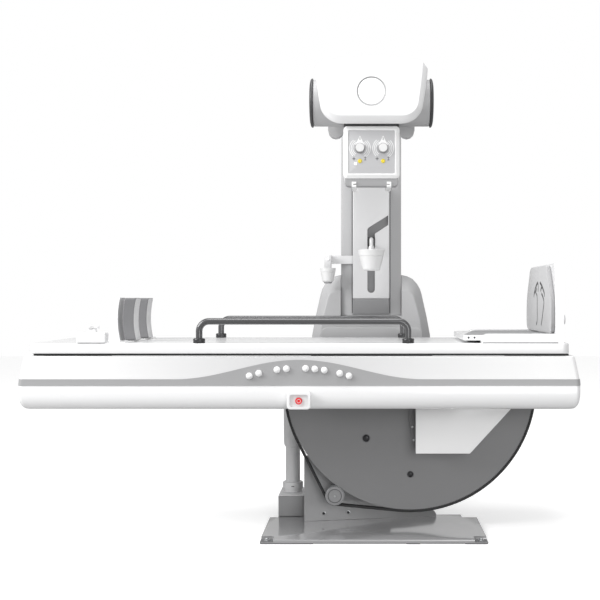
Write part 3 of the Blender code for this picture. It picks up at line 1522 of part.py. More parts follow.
# Side bracket, a sheet bent forwards from the column's head flank, with the spare compression cone
plate_left = TOWER_X - column_half - BRACKET_REACH
bend_x = (plate_left + BRACKET_PLATE - BRACKET_SHEET, plate_left + BRACKET_PLATE)
bracket_back = column_front - GAP
hanger_y = TOWER_FRONT - CONE_TOP_RADIUS * SIDE_CONE_SCALE - 0.003
hanger_front = hanger_y - BRACKET_SHEET / 2
bracket_top = BRACKET_Z + BRACKET_HEIGHT / 2
side_cone_top = BRACKET_Z - BRACKET_HANGER
arm_z = (BRACKET_Z - BRACKET_HEIGHT / 2, bracket_top)
side_bracket = box(
    "side_bracket", (bend_x[0], panel_x[0] - GAP), (bracket_back - BRACKET_SHEET, bracket_back), arm_z, PALE
)
bend = box("bend", bend_x, (hanger_front, bracket_back - BRACKET_SHEET / 2), arm_z, cutter=True)
hanger = box(
    "hanger",
    (plate_left, bend_x[1] - 0.001),
    (hanger_front, hanger_y + BRACKET_SHEET / 2),
    (side_cone_top, bracket_top),
    cutter=True,
)
join(side_bracket, bend, hanger)
side_cone_at = (plate_left + BRACKET_PLATE / 2, hanger_y, side_cone_top - SIDE_CONE_HEIGHT)
side_cone = turned(
    "side_cone", cone_profile(SIDE_CONE_SCALE, SIDE_CONE_HEIGHT), "Z", side_cone_at, WHITE, steps=24
)
side_post = rod(
    "side_post",
    0.004,
    "Z",
    (side_cone_at[0], side_cone_at[1], side_cone_top - SIDE_CONE_HEIGHT / 2 + 0.0005),
    SIDE_CONE_HEIGHT - 0.0016,
    cutter=True,
    sides=12,
)
join(side_cone, side_post)

# Inner mast, sliding in the column, with the arm that carries the tube head
mast_x = (column_x[0] + COLUMN_WALL + MAST_CLEARANCE, column_x[1] - COLUMN_WALL - MAST_CLEARANCE)
mast_y = (column_front + COLUMN_WALL + MAST_CLEARANCE, column_back - COLUMN_WALL - MAST_CLEARANCE)
tube_mast = box("tube_mast", mast_x, mast_y, (MAST_BOTTOM, MAST_TOP), PALE)
yoke_back = mast_y[0] + 0.02
yoke_front = COLLIMATOR_SWING + 0.008
beam_z = (COLUMN_TOP + MAST_CLEARANCE, TUBE_Z + ARM_BEAM_HEIGHT / 2)
arm_beam = box(
    "arm_beam",
    (TOWER_X - ARM_BEAM_WIDTH / 2, TOWER_X + ARM_BEAM_WIDTH / 2),
    (yoke_front + YOKE_THICK / 2, yoke_back),
    beam_z,
    cutter=True,
)
lobe = YOKE_LOBE / 2
yoke_outline = []
for sign in (-1, 1):
    middle = (TOWER_X + sign * YOKE_LOBE_X, YOKE_BOTTOM + lobe)
    yoke_outline += arc(middle, lobe, 180, 360, 6)
    if sign < 0:
        yoke_outline += [(middle[0] + lobe, beam_z[0] - 0.01), (TOWER_X + YOKE_LOBE_X - lobe, beam_z[0] - 0.01)]
yoke_outline += [(TOWER_X + YOKE_LOBE_X + lobe, beam_z[1]), (TOWER_X - YOKE_LOBE_X - lobe, beam_z[1])]
yoke = prism("yoke", yoke_outline, YOKE_THICK, cutter=True, at=(0.0, yoke_front, 0.0))
join(tube_mast, yoke, arm_beam)

# Tube housing: a lying drum with end caps, a rear journal in the arm, and two cable sockets
tube_housing = rod("tube_housing", TUBE_RADIUS, "X", (TOWER_X, 0.0, TUBE_Z), TUBE_LENGTH, PALE, sides=40)
cap_x = TUBE_LENGTH / 2 + CAP_THICK / 2 - 0.001
for sign in (-1, 1):
    cap = rod("cap", CAP_RADIUS, "X", (TOWER_X + sign * cap_x, 0.0, TUBE_Z), CAP_THICK, cutter=True, sides=40)
    join(tube_housing, cap)
journal = rod(
    "journal",
    0.045,
    "Y",
    (TOWER_X, (yoke_front - GAP + 0.05) / 2, TUBE_Z),
    yoke_front - GAP - 0.05,
    cutter=True,
    sides=28,
)
join(tube_housing, journal)
port = rod("port", 0.055, "Z", (TOWER_X, 0.0, (COLLIMATOR_TOP + TUBE_Z) / 2 + 0.0003), TUBE_Z - COLLIMATOR_TOP, cutter=True)
join(tube_housing, port)

# Front cover of the tube head: a hollow shell with rounded shoulders, open behind
cover_half = COVER_WIDTH / 2


def cover_outline_at(inset):
    half = cover_half - inset
    top = COVER_TOP - inset
    low = COVER_BOTTOM + inset
    right = [
        (half * 0.46, low),
        *arc((half - 0.125 + 0.03, low + 0.058), 0.058, 270, 340, 4),
        (half - 0.005, top - 0.10),
        *arc((half - 0.045, top - 0.062), 0.045, 0, 75, 5),
        (half * 0.45, top - 0.004),
    ]
    left = [(-x, z) for x, z in reversed(right)]
    return [(TOWER_X + x, z) for x, z in right + left]


def round_front(obj, radius):
    """Rounds the front rim of an upright moulding."""
    work = bmesh.new()
    work.from_mesh(obj.data)
    front = [e for e in work.edges if all(abs(v.co.y) < 1e-5 for v in e.verts)]
    bmesh.ops.bevel(work, geom=front, offset=radius, segments=3, profile=0.5, affect="EDGES")
    work.to_mesh(obj.data)
    work.free()


tube_cover = prism("tube_cover", cover_outline_at(0.0), COVER_DEPTH, WHITE, at=(0.0, COVER_FRONT, 0.0))
round_front(tube_cover, COVER_RIM)
room = prism(
    "room", cover_outline_at(COVER_WALL), COVER_DEPTH, cutter=True, at=(0.0, COVER_FRONT + COVER_WALL, 0.0)
)
round_front(room, COVER_RIM - COVER_WALL)
cap_room = rod("cap_room", CAP_RADIUS + 0.002, "X", (TOWER_X, 0.0, TUBE_Z), 1.0, cutter=True, sides=40)
port_room = box(
    "port_room",
    (TOWER_X - 0.06, TOWER_X + 0.06),
    (-0.06, 0.1),
    (COVER_BOTTOM - 0.02, COVER_BOTTOM + 0.04),
    cutter=True,
)
cut(tube_cover, room, cap_room, port_room)
stay = box(
    "stay",
    (TOWER_X - 0.03, TOWER_X + 0.03),
    (COVER_FRONT + COVER_WALL / 2, -TUBE_RADIUS - GAP),
    (TUBE_Z - 0.02, TUBE_Z + 0.02),
    cutter=True,
)
join(tube_cover, stay)

# Collimator: block with an inset panel and a narrower nose that carries the accessory rails
collimator_bottom = COLLIMATOR_TOP - COLLIMATOR_HEIGHT
collimator_half = COLLIMATOR_WIDTH / 2
collimator_front = -COLLIMATOR_DEPTH / 2
collimator_housing = box(
    "collimator_housing",
    (TOWER_X - collimator_half, TOWER_X + collimator_half),
    (collimator_front, -collimator_front),
    (collimator_bottom, COLLIMATOR_TOP - GAP),
    WHITE,
    round_by=0.006,
)
settle(collimator_housing)
panel_depth = 0.004
inset = box(
    "inset",
    (TOWER_X - collimator_half + 0.019, TOWER_X + collimator_half - 0.019),
    (collimator_front - 0.01, collimator_front + panel_depth),
    (collimator_bottom + 0.024, COLLIMATOR_TOP - 0.018),
    cutter=True,
)
cut(collimator_housing, inset)
nose_bottom = collimator_bottom - COLLIMATOR_NOSE
nose_half = ACCESSORY_RAIL_SPAN / 2 - 0.012
nose = box(
    "nose",
    (TOWER_X - nose_half, TOWER_X + nose_half),
    (collimator_front + 0.03, -collimator_front - 0.03),
    (nose_bottom, collimator_bottom + 0.01),
    cutter=True,
)
join(collimator_housing, nose)
for sign in (-1, 1):
    x = TOWER_X + sign * ACCESSORY_RAIL_SPAN / 2
    section = [
        (x - sign * 0.010, collimator_bottom + 0.002),
        (x - sign * 0.010, nose_bottom),
        (x + sign * 0.010, nose_bottom),
        (x + sign * 0.010, nose_bottom + 0.005),
        (x - sign * 0.003, nose_bottom + 0.005),
        (x - sign * 0.003, collimator_bottom + 0.002),
    ]
    rail = prism("rail", section, COLLIMATOR_DEPTH - 0.02, cutter=True, at=(0.0, collimator_front + 0.01, 0.0))
    join(collimator_housing, rail)

# Two field knobs and two light buttons on the inset panel
panel_y = collimator_front + panel_depth
knob_parts = []
for side, sign in (("left", -1), ("right", 1)):
    x = TOWER_X + sign * FIELD_KNOB_SPAN / 2
    knob = turned(
        "field_knob_" + side,
        [
            (0.0, 0.026),
            (FIELD_KNOB_RADIUS - 0.002, 0.026),
            (FIELD_KNOB_RADIUS, 0.024),
            (FIELD_KNOB_RADIUS, 0.008),
            (FIELD_SKIRT_RADIUS, 0.004),
            (FIELD_SKIRT_RADIUS, 0.0),
            (0.0, 0.0),
        ],
        "Y",
        (x, panel_y - GAP, FIELD_KNOB_Z),
        WHITE,
        steps=24,
    )
    button = turned(
        "light_button_" + side,
        [
            (0.0, 0.0075),
            (LIGHT_BUTTON_RADIUS - 0.001, 0.0075),
            (LIGHT_BUTTON_RADIUS, 0.0065),
            (LIGHT_BUTTON_RADIUS, 0.0),
            (0.0, 0.0),
        ],
        "Y",
        (x, panel_y + 0.002, LIGHT_BUTTON_Z),
        YELLOW,
        steps=16,
    )
    socket = rod(
        "socket", LIGHT_BUTTON_RADIUS + 0.0005, "Y", (x, panel_y, LIGHT_BUTTON_Z), 0.009, cutter=True, sides=16
    )
    cut(collimator_housing, socket)
    knob_parts += [knob, button]

carry("tube_turn", (TOWER_X, yoke_front, TUBE_Z), tube_housing, tube_cover, collimator_housing, *knob_parts)
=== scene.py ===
import math

import bmesh
import bpy
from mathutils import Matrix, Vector


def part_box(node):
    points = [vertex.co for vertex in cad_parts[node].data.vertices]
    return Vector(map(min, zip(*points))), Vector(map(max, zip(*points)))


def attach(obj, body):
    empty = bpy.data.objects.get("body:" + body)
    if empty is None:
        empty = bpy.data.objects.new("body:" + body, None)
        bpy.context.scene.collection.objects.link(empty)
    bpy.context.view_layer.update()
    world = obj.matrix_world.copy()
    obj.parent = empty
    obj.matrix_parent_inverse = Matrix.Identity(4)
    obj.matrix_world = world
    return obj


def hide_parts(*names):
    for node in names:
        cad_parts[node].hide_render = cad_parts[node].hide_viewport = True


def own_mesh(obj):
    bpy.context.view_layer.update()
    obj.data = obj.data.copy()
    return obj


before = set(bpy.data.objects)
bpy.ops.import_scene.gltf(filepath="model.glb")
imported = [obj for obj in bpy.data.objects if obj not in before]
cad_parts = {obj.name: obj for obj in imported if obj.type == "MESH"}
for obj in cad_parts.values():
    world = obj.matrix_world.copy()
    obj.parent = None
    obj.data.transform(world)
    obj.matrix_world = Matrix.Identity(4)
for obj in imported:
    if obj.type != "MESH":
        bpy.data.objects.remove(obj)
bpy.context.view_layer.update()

# Painted steel base plate on the floor, with a pocket for a levelling foot in each front corner
# and thin packing strips below it. Its gloss paint mirrors the stand that is bolted on it.


def paint_skin_group():
    """Mottle and fine orange peel that every painted or moulded surface has."""
    tree = bpy.data.node_groups.new("paint_skin", "ShaderNodeTree")
    sockets = tree.interface
    for name, kind, value in (
        ("Vector", "NodeSocketVector", None),
        ("Colour", "NodeSocketColor", (0.8, 0.8, 0.8, 1.0)),
        ("Shade", "NodeSocketColor", (0.7, 0.7, 0.7, 1.0)),
        ("Cloud Scale", "NodeSocketFloat", 3.0),
        ("Mottle", "NodeSocketFloat", 0.1),
        ("Roughness", "NodeSocketFloat", 0.3),
        ("Roughness Spread", "NodeSocketFloat", 0.05),
        ("Grain Scale", "NodeSocketFloat", 600.0),
    ):
        socket = sockets.new_socket(name, in_out="INPUT", socket_type=kind)
        if value is not None:
            socket.default_value = value
    sockets.new_socket("Colour", in_out="OUTPUT", socket_type="NodeSocketColor")
    sockets.new_socket("Roughness", in_out="OUTPUT", socket_type="NodeSocketFloat")
    sockets.new_socket("Height", in_out="OUTPUT", socket_type="NodeSocketFloat")
    nodes, links = tree.nodes, tree.links
    inside = nodes.new("NodeGroupInput")
    out = nodes.new("NodeGroupOutput")
    cloud = nodes.new("ShaderNodeTexNoise")
    cloud.inputs["Detail"].default_value = 3.0
    links.new(inside.outputs["Vector"], cloud.inputs["Vector"])
    links.new(inside.outputs["Cloud Scale"], cloud.inputs["Scale"])
    amount = nodes.new("ShaderNodeMath")
    amount.operation = "MULTIPLY"
    links.new(cloud.outputs["Fac"], amount.inputs[0])
    links.new(inside.outputs["Mottle"], amount.inputs[1])
    mix = nodes.new("ShaderNodeMix")
    mix.data_type = "RGBA"
    links.new(amount.outputs[0], mix.inputs["Factor"])
    links.new(inside.outputs["Colour"], mix.inputs["A"])
    links.new(inside.outputs["Shade"], mix.inputs["B"])
    links.new(mix.outputs["Result"], out.inputs["Colour"])
    grain = nodes.new("ShaderNodeTexNoise")
    grain.inputs["Detail"].default_value = 2.0
    links.new(inside.outputs["Vector"], grain.inputs["Vector"])
    links.new(inside.outputs["Grain Scale"], grain.inputs["Scale"])
    links.new(grain.outputs["Fac"], out.inputs["Height"])
    spread = nodes.new("ShaderNodeMath")
    spread.operation = "MULTIPLY_ADD"
    links.new(cloud.outputs["Fac"], spread.inputs[0])
    links.new(inside.outputs["Roughness Spread"], spread.inputs[1])
    links.new(inside.outputs["Roughness"], spread.inputs[2])
    links.new(spread.outputs[0], out.inputs["Roughness"])
    return tree


paint_skin = paint_skin_group()


def coated(
    name, colour, roughness, shade=0.85, mottle=0.25, grain=700.0, bump=0.02, metallic=0.0, coat=0.0
):
    """A painted or moulded surface, from the shared paint skin."""
    material = bpy.data.materials.new(name)
    material.use_nodes = True
    nodes, links = material.node_tree.nodes, material.node_tree.links
    shader = nodes["Principled BSDF"]
    shader.inputs["Metallic"].default_value = metallic
    shader.inputs["Coat Weight"].default_value = coat
    shader.inputs["Coat Roughness"].default_value = 0.08
    place = nodes.new("ShaderNodeTexCoord")
    skin = nodes.new("ShaderNodeGroup")
    skin.node_tree = paint_skin
    links.new(place.outputs["Object"], skin.inputs["Vector"])
    skin.inputs["Colour"].default_value = (*colour, 1.0)
    skin.inputs["Shade"].default_value = (*(c * shade for c in colour), 1.0)
    skin.inputs["Mottle"].default_value = mottle
    skin.inputs["Roughness"].default_value = roughness
    skin.inputs["Grain Scale"].default_value = grain
    links.new(skin.outputs["Colour"], shader.inputs["Base Color"])
    links.new(skin.outputs["Roughness"], shader.inputs["Roughness"])
    relief = nodes.new("ShaderNodeBump")
    relief.inputs["Strength"].default_value = bump
    relief.inputs["Distance"].default_value = 0.001
    links.new(skin.outputs["Height"], relief.inputs["Height"])
    links.new(relief.outputs["Normal"], shader.inputs["Normal"])
    return material


def show(obj, material, slot, body, *nodes):
    """Link a finished piece, smooth it, and hand it to its body in place of its CAD nodes."""
    if obj.name not in bpy.context.scene.collection.all_objects:
        bpy.context.scene.collection.objects.link(obj)
    if material is not None:
        obj.data.materials.clear()
        obj.data.materials.append(material)
    obj.data.shade_smooth()
    obj.data.set_sharp_from_angle(angle=math.radians(32))
    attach(obj, body)
    if nodes:
        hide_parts(*nodes)


def solid(name, points, faces):
    """A piece from its points and faces."""
    mesh = bpy.data.meshes.new(name)
    mesh.from_pydata([tuple(p) for p in points], [], faces)
    mesh.validate()
    return bpy.data.objects.new(name, mesh)


def face_out(obj):
    """Turn all faces of a closed piece outward."""
    work = bmesh.new()
    work.from_mesh(obj.data)
    bmesh.ops.recalc_face_normals(work, faces=work.faces)
    work.to_mesh(obj.data)
    work.free()
    return obj


def pressed(name, outline, front, depth, edge=0.0, segments=3, plane="XZ", limit=40):
    """A plate or block from its outline, which lies at a height of front above its plane.

    The edges sharper than the limit, in degrees, are eased.
    """
    work = bmesh.new()
    place = {
        "XZ": lambda a, b: (a, front, b),
        "XY": lambda a, b: (a, b, front),
        "YZ": lambda a, b: (front, a, b),
    }[plane]
    along = {"XZ": (0.0, depth, 0.0), "XY": (0.0, 0.0, depth), "YZ": (depth, 0.0, 0.0)}[plane]
    face = work.faces.new([work.verts.new(place(a, b)) for a, b in outline])
    grown = bmesh.ops.extrude_face_region(work, geom=[face])["geom"]
    moved = [each for each in grown if isinstance(each, bmesh.types.BMVert)]
    bmesh.ops.translate(work, vec=along, verts=moved)
    bmesh.ops.recalc_face_normals(work, faces=work.faces)
    if edge:
        sharp = [e for e in work.edges if e.calc_face_angle(0.0) > math.radians(limit)]
        bmesh.ops.bevel(work, geom=sharp, offset=edge, segments=segments, profile=0.5, affect="EDGES")
    mesh = bpy.data.meshes.new(name)
    work.to_mesh(mesh)
    work.free()
    return bpy.data.objects.new(name, mesh)


def block(name, x, y, z, edge=0.002, segments=3):
    """A box between pairs of low and high values."""
    outline = [(x[0], z[0]), (x[1], z[0]), (x[1], z[1]), (x[0], z[1])]
    return pressed(name, outline, y[0], y[1] - y[0], edge, segments)


def arc(centre, radius, start, end, steps):
    """Points on an arc from one angle to another, in degrees."""
    points = []
    for i in range(steps + 1):
        angle = math.radians(start + (end - start) * i / steps)
        points.append((centre[0] + radius * math.cos(angle), centre[1] + radius * math.sin(angle)))
    return points


def bake(obj):
    """Give a piece the mesh that its modifiers make, and take the modifiers off."""
    bpy.context.view_layer.update()
    made = obj.evaluated_get(bpy.context.evaluated_depsgraph_get())
    done = bpy.data.meshes.new_from_object(made)
    obj.modifiers.clear()
    obj.data = done


def cut(obj, tool):
    """Cut a tool out of a piece."""
    scene = bpy.context.scene.collection
    for each in (obj, tool):
        if each.name not in scene.all_objects:
            scene.objects.link(each)
    modifier = obj.modifiers.new("shape", "BOOLEAN")
    modifier.operation = "DIFFERENCE"
    modifier.solver = "EXACT"
    modifier.object = tool
    bake(obj)
    bpy.data.objects.remove(tool)


def turned(name, profile, axis, at, steps=64):
    """Spin a profile of (radius, height) pairs.

    Its height runs along the axis: Z is up, Y to the front, -Y to the back and X to the foot end.
    """
    points, faces, rings = [], [], []
    for radius, height in profile:
        if radius < 1e-6:
            rings.append([len(points)])
            points.append((0.0, 0.0, height))
            continue
        rings.append(range(len(points), len(points) + steps))
        for i in range(steps):
            angle = 2 * math.pi * i / steps
            points.append((radius * math.cos(angle), radius * math.sin(angle), height))
    for low, high in zip(rings, rings[1:]):
        for i in range(steps):
            j = (i + 1) % steps
            if len(low) == 1 and len(high) == 1:
                continue
            if len(low) == 1:
                faces.append((low[0], high[j], high[i]))
            elif len(high) == 1:
                faces.append((low[i], low[j], high[0]))
            else:
                faces.append((low[i], low[j], high[j], high[i]))
    turn = {
        "Z": lambda p: (p[0], p[1], p[2]),
        "Y": lambda p: (p[0], -p[2], p[1]),
        "-Y": lambda p: (p[0], p[2], -p[1]),
        "X": lambda p: (p[2], p[1], -p[0]),
    }[axis]
    placed = [Vector(turn(p)) + Vector(at) for p in points]
    return face_out(solid(name, placed, faces))


def middle_of(node):
    """Middle of a CAD node's box."""
    return tuple((low + high) / 2 for low, high in zip(*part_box(node)))


stand_grey = coated("stand_paint", (0.30, 0.30, 0.305), 0.30, mottle=0.15, coat=0.3)
base_grey = coated("base_paint", (0.40, 0.40, 0.405), 0.15, mottle=0.15, metallic=0.4, coat=0.6)
rubber_black = coated("moulded_rubber", (0.02, 0.02, 0.021), 0.55, mottle=0.4, grain=900.0, bump=0.08)
zinc = coated("zinc_plate", (0.55, 0.56, 0.57), 0.28, metallic=1.0, mottle=0.3)
dark_pocket = coated("pocket_shade", (0.14, 0.14, 0.145), 0.5)

base_low, base_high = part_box("base_plate")
packing = 0.003
plate_front, plate_back = base_low[1] + 0.001, 0.10
post_x, post_back = (0.575, 0.692), 0.16
riser_foot_x, riser_foot_back = (-0.122, 0.005), 0.37
outline = [
    (base_low[0], plate_front),
    (base_high[0], plate_front),
    (base_high[0], plate_back),
    (post_x[1], plate_back),
    (post_x[1], post_back),
    (post_x[0], post_back),
    (post_x[0], base_high[1]),
    (riser_foot_x[1], base_high[1]),
    (riser_foot_x[1], riser_foot_back),
    (riser_foot_x[0], riser_foot_back),
    (riser_foot_x[0], plate_back),
    (base_low[0], plate_back),
]
plate = pressed("base_plate_dressed", outline, packing, base_high[2] - packing, 0.0022, 3, "XY")
pocket_x, pocket_y, pocket_round = 0.054, 0.072, 0.012
pocket_floor = packing + 0.005
foot_profile = [(0.0, 0.010), (0.007, 0.010), (0.008, 0.009), (0.008, 0.0035), (0.0125, 0.003), (0.0125, 0.0)]
for side, x, sign in (("head", base_low[0], 1), ("foot", base_high[0], -1)):
    rounding = arc((pocket_x - pocket_round, pocket_y - pocket_round), pocket_round, 0, 90, 6)
    corner = [(-0.01, -0.01), (pocket_x, -0.01), *rounding, (-0.01, pocket_y)]
    corner = [(x + sign * across, plate_front + back) for across, back in corner]
    cut(plate, pressed("pocket", corner, pocket_floor, 0.03, plane="XY"))
    # A dark sheet on each pocket's floor is painted shade in the pocket.
    shade = block(
        "pocket_shade_sheet_" + side,
        sorted((x + sign * 0.0005, x + sign * (pocket_x - 0.0005))),
        (plate_front + 0.0005, plate_front + pocket_y - pocket_round),
        (pocket_floor + 0.0001, pocket_floor + 0.0007),
        0.0,
    )
    show(shade, dark_pocket, "grey_paint", "stand")
    foot_at = (x + sign * 0.026, plate_front + 0.030, pocket_floor + 0.0008)
    levelling_foot = turned("levelling_foot_" + side, foot_profile, "Z", foot_at, 40)
    show(levelling_foot, zinc, "steel", "stand")
show(plate, base_grey, "grey_paint", "stand", "base_plate")
strip_y = (plate_front + 0.002, plate_front + 0.06)
for name, x in (("head", (-0.156, 0.055)), ("middle", (0.43, 0.484)), ("foot", (0.666, 0.756))):
    strip = block("packing_strip_" + name, x, strip_y, (0.0, packing), 0.0)
    show(strip, dark_pocket, "grey_paint", "stand")

# Stand: a slanted front sheet whose toe curls up on the foot side, and the cast column behind it
# with its foot, arm and hub. The sheet is bent steel, screwed to the column, in the grey of the base.


def paint_node(node, material, width=0.0, segments=2):
    """Paint a CAD node that stays as it is, and ease its edges."""
    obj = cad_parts[node]
    obj.data.materials.clear()
    obj.data.materials.append(material)
    if width:
        modifier = obj.modifiers.new("eased_edges", "BEVEL")
        modifier.width = width
        modifier.segments = segments
        modifier.limit_method = "ANGLE"
        modifier.angle_limit = math.radians(40)
        modifier.harden_normals = True


paint_node("stand_plate", stand_grey, 0.0012)
paint_node("stand_column", stand_grey, 0.002)
stand_slope = math.tan(math.radians(11.7))
stand_front = 0.006
screw_z = 0.050
screw = [(0.0, 0.0006), (0.0035, 0.0006), (0.0035, 0.0022), (0.0062, 0.0018), (0.0068, 0.0), (0.0, 0.0)]
screw_rim = [(0.0062, 0.0), (0.0062, 0.0012), (0.0078, 0.0009), (0.0082, 0.0), (0.0062, 0.0)]
for name, x in (("head", 0.0840), ("foot", 0.1905)):
    y = stand_front + x * stand_slope - 0.0008
    head = turned("plate_screw_" + name, screw, "Y", (x, y, screw_z), 36)
    show(head, rubber_black, "dark_metal", "stand")
    rim = turned("plate_screw_rim_" + name, screw_rim, "Y", (x, y - 0.0003, screw_z), 36)
    show(rim, zinc, "steel", "stand")

# Cable riser on the head side: a steel junction box on the base, a plastic tube in a lock ring,
# and the wide soft sleeve that slides on the tube as the table tilts.
sleeve_grey = coated("riser_plastic", (0.84, 0.84, 0.845), 0.34, mottle=0.2)
box_low, box_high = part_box("junction_box")
junction = block(
    "junction_box_dressed",
    (box_low[0], box_high[0]),
    (box_low[1], box_high[1]),
    (box_low[2], box_high[2] - 0.004),
    0.002,
)
show(junction, stand_grey, "grey_paint", "stand", "junction_box")
lid = block(
    "junction_lid",
    (box_low[0] + 0.001, box_high[0] - 0.001),
    (box_low[1] + 0.001, box_high[1] - 0.001),
    (box_high[2] - 0.0035, box_high[2]),
    0.001,
)
show(lid, sleeve_grey, "grey_paint", "stand")
riser_x, riser_y = -0.0645, 0.225
riser_at = (riser_x, riser_y, 0.0)
riser_low, riser_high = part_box("riser_tube")
tube_radius = 0.0325
tube_profile = [
    (tube_radius, riser_low[2] + 0.03),
    (tube_radius, riser_high[2] - 0.002),
    (tube_radius - 0.002, riser_high[2]),
    (0.0, riser_high[2]),
]
riser = turned("riser_tube_dressed", tube_profile, "Z", riser_at, 72)
show(riser, sleeve_grey, "pale_plastic", "stand", "riser_tube")
ring = [
    (0.034, 0.0),
    (0.0405, 0.0),
    (0.0415, 0.001),
    (0.0415, 0.0095),
    (0.0445, 0.0115),
    (0.0457, 0.0135),
    (0.0457, 0.040),
    (0.0440, 0.0440),
    (0.0420, 0.0450),
    (0.0327, 0.0450),
    (0.0327, 0.020),
]
lock_ring = turned("riser_lock_ring", ring, "Z", (riser_x, riser_y, riser_low[2]), 72)
show(lock_ring, sleeve_grey, "pale_plastic", "stand")
mark = block(
    "lock_mark",
    (riser_x - 0.004, riser_x + 0.009),
    (riser_y - 0.0462, riser_y - 0.0448),
    (riser_low[2] + 0.026, riser_low[2] + 0.0295),
    0.0004,
)
show(mark, dark_pocket, "dark_metal", "stand")
sleeve_low, sleeve_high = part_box("riser_sleeve")
sleeve_radius = (sleeve_high[0] - sleeve_low[0]) / 2
sleeve_foot, sleeve_top = sleeve_low[2], sleeve_high[2] - 0.002
straight, ring_step = sleeve_foot + 0.034, 0.018
sleeve_profile = [
    (0.0331, sleeve_foot + 0.003),
    (0.0345, sleeve_foot),
    (0.0368, sleeve_foot + 0.001),
    (0.0405, sleeve_foot + 0.012),
    (sleeve_radius - 0.0004, sleeve_foot + 0.024),
    *((sleeve_radius, straight + i * ring_step) for i in range(10)),
    (sleeve_radius, sleeve_top),
    (0.0, sleeve_top),
]
sleeve = turned("riser_sleeve_dressed", sleeve_profile, "Z", riser_at, 72)
show(sleeve, sleeve_grey, "sleeve_rubber", "stand", "riser_sleeve")
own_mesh(sleeve)

# Toothed sector: a thick steel plate with fine teeth milled in its rim, painted grey on its faces.
# Two dark bolts with domed heads hold it to the cradle behind.
tilt_x, tilt_z = 0.4554, 0.6106
sector_low, sector_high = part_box("sector_gear")
rim_radius = 0.5328
chord_z = 0.536
tooth_pitch = 0.007
tooth_height = 0.0032
sector_grey = coated("sector_paint", (0.215, 0.215, 0.218), 0.42, mottle=0.2, grain=500.0)
tooth_angle = tooth_pitch / rim_radius
reach_angle = math.acos((tilt_z - chord_z) / rim_radius) - 0.002


def outward(angle):
    """Direction from the tilt axis, by the angle from straight down towards the head end."""
    return Vector((-math.sin(angle), -math.cos(angle)))


hub = Vector((tilt_x, tilt_z))
rim = []
teeth_aside = int(reach_angle / tooth_angle)
root_radius = rim_radius - tooth_height
tooth_form = ((-0.32, root_radius), (-0.17, rim_radius), (0.17, rim_radius), (0.32, root_radius))
for tooth in range(-teeth_aside, teeth_aside + 1):
    for share, radius in tooth_form:
        rim.append(tuple(hub + outward((tooth + share) * tooth_angle) * radius))
tongue = 0.1546
rim += [(tilt_x - tongue, chord_z), (tilt_x - tongue, sector_high[2])]
rim += [(tilt_x + tongue, sector_high[2]), (tilt_x + tongue, chord_z)]
sector = pressed("sector_dressed", rim, sector_low[1], sector_high[1] - sector_low[1])
bore_radius = 0.0406
bore = [(0.0, -0.1), (bore_radius, -0.1), (bore_radius, 0.1), (0.0, 0.1)]
cut(sector, turned("bore", bore, "Y", (tilt_x, -0.034, tilt_z), 48))
show(sector, sector_grey, "grey_paint", "tilt_frame", "sector_gear")
dark_bolt = coated("blackened_bolt", (0.035, 0.035, 0.037), 0.3, metallic=0.6, mottle=0.3)
for name, x, z, radius in (("upper", 0.268, 0.3852, 0.0175), ("lower", 0.4575, 0.2309, 0.0152)):
    at = (x, sector_low[1] - 0.0001, z)
    washer = [(0.0, 0.0014), (radius * 0.97, 0.0014), (radius, 0.0008), (radius, 0.0), (0.0, 0.0)]
    dome = [
        (0.0, 0.0065),
        (radius * 0.3, 0.0062),
        (radius * 0.58, 0.0050),
        (radius * 0.78, 0.0028),
        (radius * 0.84, 0.0012),
        (radius * 0.84, 0.0),
    ]
    for part, profile, finish in (("washer", washer, dark_pocket), ("bolt", dome, dark_bolt)):
        piece = turned("sector_%s_%s" % (part, name), profile, "Y", at, 56)
        show(piece, finish, "dark_metal", "tilt_frame")

# Toothed belt: black rubber over steel cords, clamped to both ends of the sector's rim.
# Between the two rim parts it leaves the sector and loops round the drive pulley.
belt_back = 0.0092
belt_low, belt_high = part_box("drive_belt")
pulley_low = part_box("drive_pulley")[0]
pulley_tip = 0.0334
pulley_reach = rim_radius + pulley_tip + 0.004
pulley_angle = math.radians(34.3)
pulley_centre = hub + outward(pulley_angle) * pulley_reach
inner_radius = rim_radius + 0.0005
wrap_radius = pulley_tip + 0.0005
spread = math.acos((inner_radius - wrap_radius) / pulley_reach)
leave_angle = pulley_angle - spread
return_angle = pulley_angle + spread
anchor_angle = teeth_aside * tooth_angle
cord_grey = coated("belt_cord_edge", (0.035, 0.035, 0.036), 0.6)


def swept(name, rings):
    """A closed solid through rings of points, all of equal length."""
    wide, last = len(rings[0]), len(rings) - 1
    points = [point for ring in rings for point in ring]
    faces = [tuple(reversed(range(wide))), tuple(range(last * wide, (last + 1) * wide))]
    for i in range(last):
        for j in range(wide):
            k = (j + 1) % wide
            faces.append((i * wide + j, i * wide + k, (i + 1) * wide + k, (i + 1) * wide + j))
    return face_out(solid(name, points, faces))


def two_tones(obj, first, second, tones):
    """Give a piece two materials, with a tone of 0 or 1 for each face."""
    obj.data.materials.clear()
    obj.data.materials.append(first)
    obj.data.materials.append(second)
    for polygon, tone in zip(obj.data.polygons, tones):
        polygon.material_index = tone


